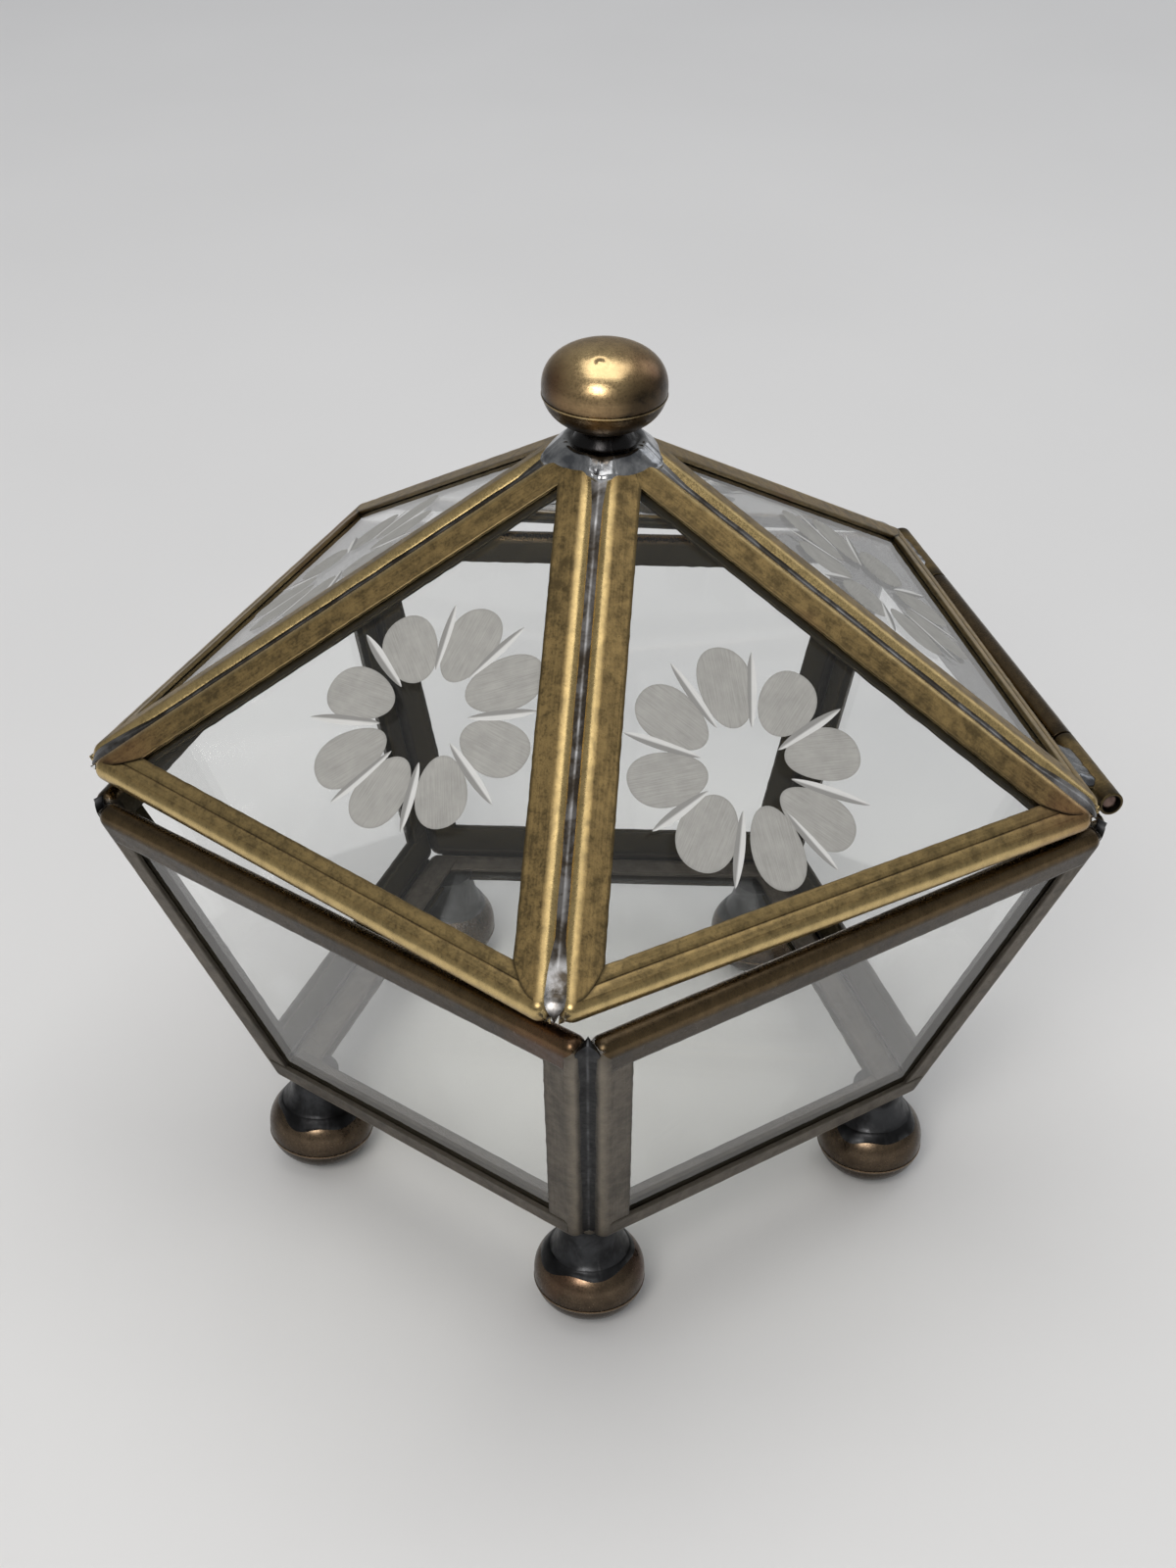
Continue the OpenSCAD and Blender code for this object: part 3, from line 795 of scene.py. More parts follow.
@dataclass(frozen=True)
class ChannelFrame:
    """A frame of folded brass channel round one pane, one closed bar on each edge."""

    size: Casket
    back_steps: int = 22
    corner_steps: int = 7
    row_pitch: float = 1.1
    scribe_at: float = 2.75
    scribe_w: float = 0.16
    scribe_deep: float = 0.09
    rag: float = 0.10
    sag: float = 0.035
    lap: float = 0.11
    burr: float = 0.07
    lap_reach: float = 3.0
    cope_bow: float = 2.1

    def section(self, scribed: float, polish: float) -> Section:
        """Gives the channel's closed section.

        The back is a half circle from the inner to the outer face, then the outer flange with its scribed
        line, its rounded edge, the slot for the glass and the inner flange.

        Args:
            scribed: How much of the scribed line's depth this bar has, from 0 to 1.
            polish: How far its flange is rubbed bright, from 0 to 1.

        Returns:
            The section.
        """
        r, d, wall = self.size.came_r, self.size.came_depth, self.size.came_wall
        slot = self.size.glass_t / 2 + self.size.glass_clear
        psi = np.linspace(-math.pi / 2, math.pi / 2, self.back_steps)
        back = np.stack([r - r * np.cos(psi), r * np.sin(psi)], -1)
        a, w, low = self.scribe_at, self.scribe_w, r - self.scribe_deep * scribed
        face = [(r + 0.02, r), (r + 0.45, r), (a - w, r), (a, low), (a + w, r), (a + 0.6, r), (d - 0.5, r)]
        lip = [(d - 0.12, r), (d - 0.02, r - 0.07), (d, r - 0.2), (d, slot + 0.06)]
        groove = [(d - 0.06, slot), (wall, slot), (wall, -slot), (d - 0.06, -slot)]
        under = [(d, -slot - 0.06), (d, 0.2 - r), (d - 0.02, 0.07 - r)]
        under += [(d - 0.12, -r), (d - 1.2, -r), (r + 0.02, -r)]
        sh = np.concatenate([back, np.array(face + lip + groove + under)])
        part = np.repeat(np.arange(5), [len(back), len(face), len(lip), len(groove), len(under)])
        turn = np.concatenate([psi, np.full(len(sh) - len(psi), math.pi / 2)])
        scribe = scribed * bell(sh[:, 0], a, 0.12)
        kind = [part == 0, part == 1, part == 2]
        rub = np.select(kind, [bell(np.abs(turn), 0.75, 0.62), polish * (1 - scribe), 0.3], 0.0)
        # Painted shade on the slot, the inner flange and the back's side towards the box's inside.
        inside = np.select(kind, [1 - smooth(turn, -1.5, -1.2), 0.0, 0.0], 1.0)
        # Darker in the scribed line, towards the flange's edge and on the lip.
        line_and_edge_dark = np.select(kind, [0.0, 0.75 * scribe + 0.35 * smooth(sh[:, 0], d - 0.5, d - 0.1), 0.6], 0.0)
        return Section(sh[:, 0], sh[:, 1], part, turn, rub, inside, line_and_edge_dark, arc_length(sh))

    def end_reach(self, s: Array, end: BarEnd, seed: int, peak_reach: float) -> Array:
        """How far from the sharp corner each line of the section ends, along the edge.

        At distance s from its own edge and o from the neighbour's, a point lies (o + s cos A) / sin A
        back from a corner of angle A.
        """
        r, d = self.size.came_r, self.size.came_depth
        if end.kind is Corner.PEAK:
            return np.maximum(s / math.tan(end.angle / 2), peak_reach + 0.25 * np.sin(3.1 * s + seed))
        x = np.clip((s - r) / (d - r), 0, 1)
        other = {
            Corner.COPED_OVER: r + (d - r) * x**self.cope_bow,
            Corner.COPED_UNDER: r + (d - r) * x ** (1 / self.cope_bow),
            Corner.BUTT_OVER: np.full_like(s, r),
            Corner.BUTT_UNDER: np.full_like(s, d),
        }[end.kind]
        reach = (other + np.maximum(s, r) * math.cos(end.angle)) / math.sin(end.angle)
        return np.where(s > r + 0.01, reach, r / math.tan(end.angle / 2))

    def bar(self, ends: tuple[BarEnd, BarEnd], seed: int, look: BarLook, peak_reach: float) -> Patch:
        """Builds one bar along an edge.

        Args:
            ends: Where and how it starts and ends.
            seed: Seed of its small irregularities.
            look: Its finish and how it is marked.
            peak_reach: Distance from the peak's corner at which a rib is cut.

        Returns:
            A closed patch in the pane's plane.
        """
        sec, r = self.section(look.scribed, look.polish), self.size.came_r
        s, start = sec.s, ends[0].corner
        run = np.linalg.norm(ends[1].corner - start)
        e = (ends[1].corner - start) / run
        out = np.array([e[1], -e[0]])
        reach = [self.end_reach(s, end, seed, peak_reach) for end in ends]
        share = np.linspace(0, 1, max(12, int(run / self.row_pitch)))
        tau = (0.65 * share + 0.35 * (0.5 - 0.5 * np.cos(math.pi * share)))[:, None]
        a = reach[0] + (run - reach[0] - reach[1]) * tau
        from_ends = [a - reach[0], run - reach[1] - a]
        s_now, h_now = self.worn_edges(sec, a, smooth(np.minimum(*from_ends), 0.0, 2.0), seed)
        h_now, cut = self.laps(sec, h_now, ends, from_ends)
        flat = start + e * a[..., None] - out * s_now[..., None]
        grid = np.concatenate([flat, h_now[..., None]], -1)
        first = self.corner_turn(grid[0], ends[0], -e, out, sec)[::-1]
        last = self.corner_turn(grid[-1], ends[1], e, out, sec)
        grid = np.concatenate([first, grid, last])
        along = (grid[..., :2] - start) @ e
        tips = np.minimum(along, run - along)
        soot = look.tip_soot * (1 - smooth(tips, 0.4, 4.5)) * sec.is_part(Part.BACK, Part.FACE, Part.LIP)
        # Painted shade, partly a tin film: the back darkens on its side towards the groove.
        edge = sec.turn + 0.05 * waves(along, seed + 5, 9.0)
        shade = look.groove_film_and_shade * (1 - smooth(edge, look.dark_turn - 0.45, look.dark_turn))
        shade = shade * sec.is_part(Part.BACK)
        cut = np.pad(cut, ((len(first), len(last)), (0, 0)), mode="edge")
        line = 0.9 * (1 - smooth(cut, 0.08, 0.30)) * sec.is_part(Part.FACE, Part.LIP)
        # Joins flux at the ends, painted shade by the groove, the darker scribed line and edges, and the coped
        # cuts' lines.
        soot = np.maximum(np.maximum(soot, shade), np.maximum(sec.line_and_edge_dark, line))
        flushed = along > run / 2 if look.flush_at_end else along < run / 2
        flush = look.flush * (1 - smooth(tips, 2.0, 16.0)) * flushed
        uv = np.stack(np.broadcast_arrays(along / 10 + seed, sec.arc / 10), -1)
        marks = {"rub": sec.rub, "inside": sec.inside, "soot": soot, "flush": flush}
        return wrapped(grid, marks, uv, look.finish, capped=True)

    def worn_edges(self, sec: Section, a: Array, free: Array, seed: int) -> tuple[Array, Array]:
        """Makes the flanges' edges ragged and the faces sag a little.

        Args:
            sec: The channel's section.
            a: Where each point lies along the bar.
            free: How far each point is free of the bar's ends, from 0 to 1.
            seed: Seed of the irregularities.

        Returns:
            The section's s and h at every point.
        """
        s, h, d = sec.s, sec.h, self.size.came_depth
        lip = sec.is_part(Part.LIP) | (sec.is_part(Part.SLOT) & (s > d - 0.1))
        lip = lip | (sec.is_part(Part.UNDER) & (s > d - 0.2))
        outer = waves(a, seed + 1, 3.2) * 0.6 + waves(a, seed + 2, 0.9) * 0.4
        ragged = np.where(h >= 0, outer, waves(a, seed + 3, 4.0))
        swell = np.abs(waves(a + 2.0 * s, seed + 4, 9.0)) * self.sag * free
        s_now = s + np.where(lip, -self.rag * (0.5 + 0.5 * ragged) * free, 0.0)
        return s_now, h - np.where(sec.part <= Part.LIP.value, swell * h / self.size.came_r, 0.0)

    def laps(
        self, sec: Section, h: Array, ends: tuple[BarEnd, BarEnd], from_ends: list[Array]
    ) -> tuple[Array, Array]:
        """Presses each end that lies under its neighbour, raises a burr on one that lies over it.

        Args:
            sec: The channel's section.
            h: The section's h at every point.
            ends: How the bar starts and ends.
            from_ends: Distance of each point from the two ends.

        Returns:
            The new h, and each point's distance from a coped cut.
        """
        cut, r = np.full(h.shape, 9.0), self.size.came_r
        flange = (sec.s > r + 0.3) & ~sec.is_part(Part.SLOT)
        for end, away in zip(ends, from_ends):
            if end.kind in (Corner.COPED_UNDER, Corner.BUTT_UNDER):
                pressed = self.lap * (1 - smooth(away, 0.0, self.lap_reach)) * np.where(sec.h >= 0, 1.0, -1.0)
                h = h - np.where(flange, pressed, 0.0)
            if end.kind in (Corner.COPED_UNDER, Corner.COPED_OVER):
                cut = np.minimum(cut, away)
            if end.kind is Corner.COPED_OVER:
                burr = self.burr * bell(away, 0.3, 0.22)
                h = h + np.where(sec.is_part(Part.FACE) & (sec.s > r + 0.2), burr, 0.0)
        return h, cut

    def corner_turn(self, last: Array, end: BarEnd, ahead: Array, out: Array, sec: Section) -> Array:
        """Turns a bar's back half way round its corner, about the point a back's radius inside both edges.

        Args:
            last: The bar's last row of points.
            end: The corner.
            ahead: The way off the bar there.
            out: The way out of the frame.
            sec: The channel's section.

        Returns:
            More rows of points, none at the peak.
        """
        if end.kind is Corner.PEAK:
            return np.empty((0, len(sec.s), 3))
        r = self.size.came_r
        centre = end.corner - ahead * (r / math.tan(end.angle / 2)) - out * r
        phi = (math.pi - end.angle) / 2 * np.arange(1, self.corner_steps + 1)[:, None, None] / self.corner_steps
        arm = np.maximum(r - sec.s, 0)[None, :, None]
        arc = centre + arm * (np.cos(phi) * out + np.sin(phi) * ahead)
        rows = np.concatenate([arc, np.broadcast_to(sec.h[None, :, None], arc[..., :1].shape)], -1)
        return np.where((sec.s > r + 0.01)[None, :, None], last[None], rows)

    def frame(
        self, outline: Array, kinds: list[tuple[Corner, Corner]], seed: int, looks: list[BarLook],
        peak_reach: float = 0.0,
    ) -> list[Patch]:
        """Builds every bar of a frame.

        Args:
            outline: The frame's corners, anticlockwise.
            kinds: For each edge, how its bar starts and ends.
            seed: Seed of the frame's irregularities.
            looks: For each edge, its bar's finish and marks.
            peak_reach: Distance from the peak's corner at which ribs are cut.

        Returns:
            One patch for each bar.
        """
        ways = edge_ways(outline)
        angles = np.arccos(np.clip((ways * -np.roll(ways, 1, 0)).sum(1), -1, 1))
        bars = []
        for i, (kind, look) in enumerate(zip(kinds, looks)):
            j = (i + 1) % len(outline)
            ends = BarEnd(outline[i], angles[i], kind[0]), BarEnd(outline[j], angles[j], kind[1])
            bars.append(self.bar(ends, seed * 10 + i, look, peak_reach))
        return bars


@dataclass(frozen=True)
class Channels:
    """All the frames of the box: five sides, five lid triangles and the base."""

    layout: Layout
    finishes: Finishes
    channel: ChannelFrame

    def side_looks(self, number: int) -> list[BarLook]:
        """Gives the looks of a side frame's bars: foot, right, rim, left."""
        # The uprights' backs take painted shade over most of their width towards the groove.
        upright = BarLook(finish=1, groove_film_and_shade=0.95, dark_turn=0.9, tip_soot=0.5)
        rim = BarLook(tip_soot=0.45)
        if number == FRONT_LEFT:
            rim = replace(rim, flush=0.4, flush_at_end=False)
        return [self.foot_look(), upright, rim, upright]

    def foot_look(self) -> BarLook:
        """Gives the look of the bars round the base."""
        # Painted shade, partly a tin film, on the backs' halves towards the groove.
        return BarLook(finish=1, groove_film_and_shade=0.7, dark_turn=0.0)

    def lid_looks(self, number: int) -> list[BarLook]:
        """Gives the looks of a lid frame's bars: eave, right rib, left rib."""
        # The ribs' backs take painted shade, partly a tin film, towards the groove.
        rib, eave = BarLook(groove_film_and_shade=0.85, dark_turn=0.30), BarLook(scribed=1.0, polish=0.36)
        if number == FRONT_LEFT:
            return [eave, rib, replace(rib, flush=0.6)]
        if number == FRONT_RIGHT:
            flushed = replace(rib, flush=0.8, flush_at_end=False, tip_soot=0.6)
            return [replace(eave, flush=0.7, tip_soot=0.6), flushed, rib]
        return [eave, rib, rib]

    def make(self) -> None:
        """Builds and places them."""
        over, under = Corner.COPED_OVER, Corner.COPED_UNDER
        on, below, peak = Corner.BUTT_OVER, Corner.BUTT_UNDER, Corner.PEAK
        lay, size = self.layout, self.layout.size
        slant = size.peak_cut_r * math.hypot(size.lid_rise, size.lid_corner_r) / size.lid_corner_r - 0.45
        lid_metals = [self.finishes["lid_brass"]]
        metals = [self.finishes["rim_brass"], self.finishes["grey_brass"]]
        for n in range(1, SIDES + 1):
            ends = [(on, on), (below, below), (on, on), (below, below)]
            bars = self.channel.frame(lay.side_outline(), ends, 20 + n, self.side_looks(n))
            bars = [p.moved(lay.side(n)) for p in bars]
            build(f"side_frame_{n}", bars, metals, "body", (f"side_channel_{n}",))
            ends = [(under, under), (over, peak), (peak, over)]
            bars = self.channel.frame(lay.lid_outline(), ends, 40 + n, self.lid_looks(n), slant)
            bars = [p.moved(lay.lid_side(n)) for p in bars]
            build(f"lid_frame_{n}", bars, lid_metals, "lid", (f"lid_channel_{n}",))
        bars = self.channel.frame(lay.base_outline(), [(on, below)] * SIDES, 60, [self.foot_look()] * SIDES)
        bars = [p.moved(lay.base()) for p in bars]
        build("base_frame", bars, metals, "body", ("base_channel",))


# ---- Solder ----


@dataclass(frozen=True)
class Seam:
    """The line of a groove in the box's frame, and the way out of the box from it."""

    start: Array
    end: Array
    out: Array


@dataclass(frozen=True)
class Run:
    """A run of solder in the groove between two channel backs, whose width, level and bulge change along it."""

    seam: Seam
    seed: int
    half_width: Keys
    level: Keys
    bulge: Keys
    shine: Keys
    ripple: float = 0.03
    # Strength of a painted highlight: a thin bright line along the run's middle.
    glint: float = 0.8
    under: float = 1.25
    rows: int = 150
    cols: int = 13

    def patch(self) -> Patch:
        """Builds the run.

        Across the groove, at u from -1 to 1, the skin's height is level + bulge (1 - u^2), so that a
        negative bulge is a hollow fillet and a positive one a bead. A flat underside closes it.
        """
        span = self.seam.end - self.seam.start
        length = np.linalg.norm(span)
        d = span / length
        out = self.seam.out - d * (self.seam.out @ d)
        out = out / np.linalg.norm(out)
        t = np.linspace(0, 1, self.rows)
        a = t[:, None] * length
        keys = self.half_width, self.level, self.bulge, self.shine
        wide, level, bulge, shine = (np.interp(t, *np.array(k).T)[:, None] for k in keys)
        drawn_in = np.sqrt(np.clip(np.minimum(a, length - a) / 1.2, 0.01, 1))
        w = wide * (1 + self.ripple * waves(a, self.seed, 8.0)) * drawn_in
        level = level + 0.02 * waves(a, self.seed + 2, 12.0) - 0.5 * (1 - drawn_in)
        bulge = bulge * (1 + 0.12 * waves(a, self.seed + 4, 9.0))
        u = np.linspace(-1, 1, self.cols)
        arch = 1 - u**2
        top = level + bulge * arch + 0.05 * shine * arch * waves(a + 0.35 * u**2, self.seed + 1, 1.1)
        height = np.concatenate([top, level - self.under * np.array([0.8, 1.0, 0.8])], 1)
        across = np.concatenate([u, [0.55, 0.0, -0.55]]) * w + 0.015 * waves(a, self.seed + 3, 12.0)
        side = np.cross(d, out)
        points = self.seam.start + d * a[..., None] + out * height[..., None] + side * across[..., None]
        # Painted highlight: a thin line along the run's middle, where it is left lighter.
        line = bell(u * w, 0.10 * waves(a, self.seed + 6, 30.0), 0.11)
        line = line * (0.75 + 0.25 * waves(a, self.seed + 7, 5.0))
        soot = np.clip((1 - shine) * (1 - self.glint * line), 0, 1)
        soot = np.concatenate([soot, np.ones((self.rows, 3))], 1)
        uv = np.stack(np.broadcast_arrays(a / 10 + self.seed, np.linspace(0, 0.3, self.cols + 3)), -1)
        return wrapped(points, {"soot": soot}, uv, capped=True)


def steady(value: float) -> Keys:
    """Gives the keys of a value that stays the same."""
    return ((0, value), (1, value))


def closed_skin(rows: Array, soot: Array, angle: Array, pitch: float) -> Patch:
    """Closes a stack of rings round Z with a point on the axis at each end.

    Args:
        rows: The rings' points.
        soot: How black each ring is, with a row more at each end.
        angle: Angle of each column.
        pitch: How far the surface coordinate goes for each radian.

    Returns:
        The closed patch.
    """
    grid = np.concatenate([rows[:1] * POLE, rows, rows[-1:] * POLE])
    uv = np.stack(np.broadcast_arrays(angle * pitch, np.arange(len(grid))[:, None] * 0.03), -1)
    return wrapped(grid, {"soot": soot}, uv)


@dataclass(frozen=True)
class SolderWork:
    """The runs in the grooves, the crown at the peak and the pools on the feet."""

    layout: Layout
    finishes: Finishes
    pit_at: float = math.radians(338.0)
    crown_neck_r: float = 2.7
    pool_join_r: float = 5.0
    pool_reach: float = 5.9
    pool_skin: float = 0.28

    def corner_seam(
        self, place: Place, corner: int, low: tuple[float, float], high: tuple[float, float], half_angle: float,
        stops: tuple[float, float],
    ) -> Seam:
        """Gives the line of a corner's run.

        Args:
            place: The box's or the lid's axis.
            corner: Which corner, counted anticlockwise.
            low: Distance from the axis and height of the seam's lower end.
            high: The same of its upper end.
            half_angle: Half the angle between the panes.
            stops: How far the run stays from the two ends.

        Returns:
            The line, in the box's frame.
        """
        around = rot_z(HINGE_DIR - HALF_STEP + STEP * corner)
        p0, p1 = np.array([low[0], 0, low[1]]), np.array([high[0], 0, high[1]])
        d = (p1 - p0) / np.linalg.norm(p1 - p0)
        out = np.array([d[2], 0, -d[0]])
        shift = -out * self.layout.size.groove_depth(half_angle)
        ends = np.stack([p0 + d * stops[0] + shift, p1 - d * stops[1] + shift]) @ around.T
        return Seam(*place(ends), place.turn @ (around @ out))

    def base_seam(self, number: int) -> Seam:
        """Gives the line between the base frame and a side frame."""
        s = self.layout.size
        place = self.layout.box_place().then(self.layout.pane_place(number, s.base_corner_r, s.base_z, 0))
        half = s.apothem(s.base_corner_r) * math.tan(HALF_STEP) - 2.0
        out = np.array([0, -math.cos(s.foot_half), -math.sin(s.foot_half)])
        ends = place(np.array([[-half, 0, 0], [half, 0, 0]]) - out * s.groove_depth(s.foot_half))
        return Seam(*ends, place.turn @ out)

    def side_run(self, seam: Seam, seed: int) -> Run:
        """A body corner's run: black with a painted highlight line, and filled nearly flush with the backs up
        to the rim.
        """
        wide, level = ((0, 1.2), (0.5, 1.3), (1, 1.35)), ((0, 1.35), (0.5, 1.45), (1, 1.5))
        bulge, shine = ((0, -0.2), (0.9, -0.25), (1, -0.05)), ((0, 0.02), (0.9, 0.02), (1, 0.25))
        return Run(seam, seed, wide, level, bulge, shine, glint=0.85)

    def rib_run(self, seam: Seam, seed: int, front: bool) -> Run:
        """A lid rib's run: bright by the corner and at the peak, between them dark with a thin painted
        highlight line.
        """
        wide = ((0, 0.9), (0.03, 1.25), (0.08, 1.2), (0.13, 1.15), (0.9, 1.15), (1, 1.2))
        level = ((0, 1.3), (0.03, 1.5), (0.08, 1.38), (0.13, 1.20), (0.9, 1.20), (1, 1.5))
        bulge = ((0, 0.0), (0.03, 0.22), (0.08, 0.06), (0.13, -0.12), (0.9, -0.12), (1, 0.1))
        low = 1.0 if front else 0.45
        shine = ((0, 0.2), (0.02, low), (0.07, 0.9 * low), (0.10, 0.15), (0.5, 0.10), (0.93, 0.20), (1, 1.0))
        return Run(seam, seed, wide, level, bulge, shine)

    def seams(self) -> None:
        """Builds the runs between neighbouring frames and under the sides."""
        s, box, lid = self.layout.size, self.layout.box_place(), self.layout.lid_place()
        base, rim = (s.base_corner_r, s.base_z), (s.rim_corner_r, s.rim_z)
        eave, peak = (s.lid_corner_r, s.lid_z), (0, s.peak_z)
        side_half, lid_half = s.half_dihedral(s.side_slope), s.half_dihedral(s.lid_slope)
        sides, ribs, feet = [], [], []
        for c in range(SIDES):
            seam = self.corner_seam(box, c, base, rim, side_half, (1.5, -0.2))
            sides.append(self.side_run(seam, 100 + c).patch())
            seam = self.corner_seam(lid, c, eave, peak, lid_half, (1.2, s.peak_cut_r))
            ribs.append(self.rib_run(seam, 120 + 7 * c, c == FRONT_CORNER).patch())
            run = Run(self.base_seam(c + 1), 140 + c, steady(0.9), steady(1.3), steady(0.0), steady(0.1))
            feet.append(run.patch())
        dark = [self.finishes["dark_solder"]]
        build("side_seams", sides, dark, "body", ("side_solder",))
        build("lid_seams", ribs, [self.finishes["bright_solder"]], "lid", ("lid_solder",))
        build("base_seams", feet, dark, "body", ("base_solder",))

    def crown(self) -> None:
        """Builds the crown: solder over the rib ends, drawn down each rib, and the dark neck under the knob.

        Outside the neck its height is that of the lid's metal at distance r in each direction, less the
        valley between two ribs, plus a skin that thins to a ragged edge and dips into the metal there.
        """
        s, neck_r, angle = self.layout.size, self.crown_neck_r, round_circle(220)
        knob_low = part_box("knob_lower")[0].z / MM + 0.2
        around = (angle - HINGE_DIR + HALF_STEP) % STEP - HALF_STEP
        seam = HALF_STEP - np.abs(around)
        reach = s.peak_cut_r + 2.15 + 0.30 * ring_waves(angle, 7, 2, 7) + 0.35 * bell(seam, 0, 0.16)
        t = np.linspace(0, 1, 44)[:, None]
        r = neck_r + (reach - neck_r) * t
        rise = s.lid_rise * (1 - r * np.cos(around) / s.apothem(s.lid_corner_r))
        metal = s.lid_z + rise + s.came_r / math.cos(s.lid_slope)
        valley = 0.55 * bell(seam * r, 0, 0.9) * smooth(r, 3.5, 5.0)
        lumps = 0.6 * ring_waves(angle, 9, 2, 6) + 0.4 * ring_waves(angle, 11, 5, 14)
        skin = 0.34 * (1 - smooth(t, 0.55, 0.97)) - 0.22 * smooth(t, 0.92, 1.0)
        skin = skin + 0.06 * lumps * smooth(t, 0.2, 0.5) * (1 - smooth(t, 0.8, 1.0))
        top = s.peak_z - s.crown_drop + 0.1
        neck = knob_low - (knob_low - top) * smooth(r, neck_r - 0.3, 4.7)
        blend = smooth(r, 3.6, 5.3)
        pit = bell(((angle - self.pit_at + math.pi) % TURN - math.pi) * 6.0, 0, 0.28) * bell(r, 6.7, 0.3)
        z = neck * (1 - blend) + np.minimum(metal - valley + skin, top + 1.2) * blend - 0.18 * pit
        points = ring(r, angle, z)
        low = ring(2.0, angle, s.peak_z - s.crown_drop - s.crown_h)[None]
        # Darker close to the neck under the knob, and in the pit.
        skin_darkening = np.maximum(1 - smooth(r + 0.3 * ring_waves(angle, 13, 2, 7), 3.9, 5.2), 0.9 * pit)
        dark = np.ones((1, len(angle)))
        soot = np.concatenate([dark, skin_darkening, 0.6 * dark, dark, dark])
        patch = closed_skin(np.concatenate([points, points[-1:] - 1.6 * POLE, low]), soot, angle, 0.5)
        patch, tin = patch.moved(self.layout.lid_place()), [self.finishes["crown_solder"]]
        build("peak_crown", [patch], tin, "lid", ("crown_solder",))

    def pool(self, number: int) -> Patch:
        """Builds the dark solder on a foot: a waisted neck that runs out over the ball in a ragged skin.

        The skin lies on the ball's surface |r/R|^p + |z/H|^p = 1 and thins to nothing at its edge.
        """
        join_r, angle = self.pool_join_r, round_circle(96)
        lo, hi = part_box(f"foot_upper_{number}")
        low_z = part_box(f"foot_lower_{number}")[0].z
        half, wide = (hi.z - low_z) / 2 / MM, (hi.x - lo.x) / 2 / MM

        def ball(r: Array) -> Array:
            """Height of the ball's upper side at distance r from its axis."""
            return half + half * (1 - np.clip(r / wide, 0, 1) ** BALL_POWER) ** (1 / BALL_POWER)

        top = self.layout.size.base_z - 0.6
        join = float(ball(np.array(join_r))) + self.pool_skin
        t = np.linspace(0, 1, 12)[:, None]
        waist = 1.3 * (1 - t**2.5) - 0.15 * np.sin(math.pi * t) * ring_waves(angle, 40 + number, 2, 6)
        neck = ring(join_r - waist, angle, top + (join - top) * t)
        t = np.linspace(0, 1, 16)[1:, None]
        r = join_r + (self.pool_reach + 0.45 * ring_waves(angle, 30 + number, 1, 7) - join_r) * t
        thick = self.pool_skin * (1 - smooth(t, 0.2, 1.0)) - 0.10 * smooth(t, 0.85, 1.0)
        skin = ring(r, angle, ball(r) + thick + 0.05 * ring_waves(angle, 50 + number, 3, 9) * (1 - t))
        rows = np.concatenate([neck, skin, skin[-1:] * np.array([0.8, 0.8, 1.0]) - POLE])
        soot = np.full((len(rows) + 2, len(angle)), 0.70)
        soot[13:-2] = 0.85 - 0.5 * smooth(t, 0.5, 1.0) * (ring_waves(angle, 60 + number, 3, 8) > 0.2)
        at = np.array([*centre_of(f"foot_upper_{number}")[:2], low_z / MM])
        return closed_skin(rows, soot, angle, 0.4).moved(Place(np.eye(3), at))

    def make(self) -> None:
        """Builds all the solder."""
        self.seams()
        self.crown()
        pools, dark = [self.pool(n) for n in range(1, SIDES + 1)], [self.finishes["dark_solder"]]
        build("foot_pools", pools, dark, "body", ("foot_solder",))


# ---- Glass and the wheel-cut flowers ----


class Cut(Enum):
    """The two shapes that the wheel cuts."""

    PETAL = "an egg-shaped oval, its blunt end outwards"
    LEAF = "a long thin wedge, pointed at both ends"


@dataclass(frozen=True)
class FlowerPlace:
    """Where a pane's flower lies: its middle in the pane's plane, and its turn as a share of a petal's step."""

    x: float
    y: float
    phase: float


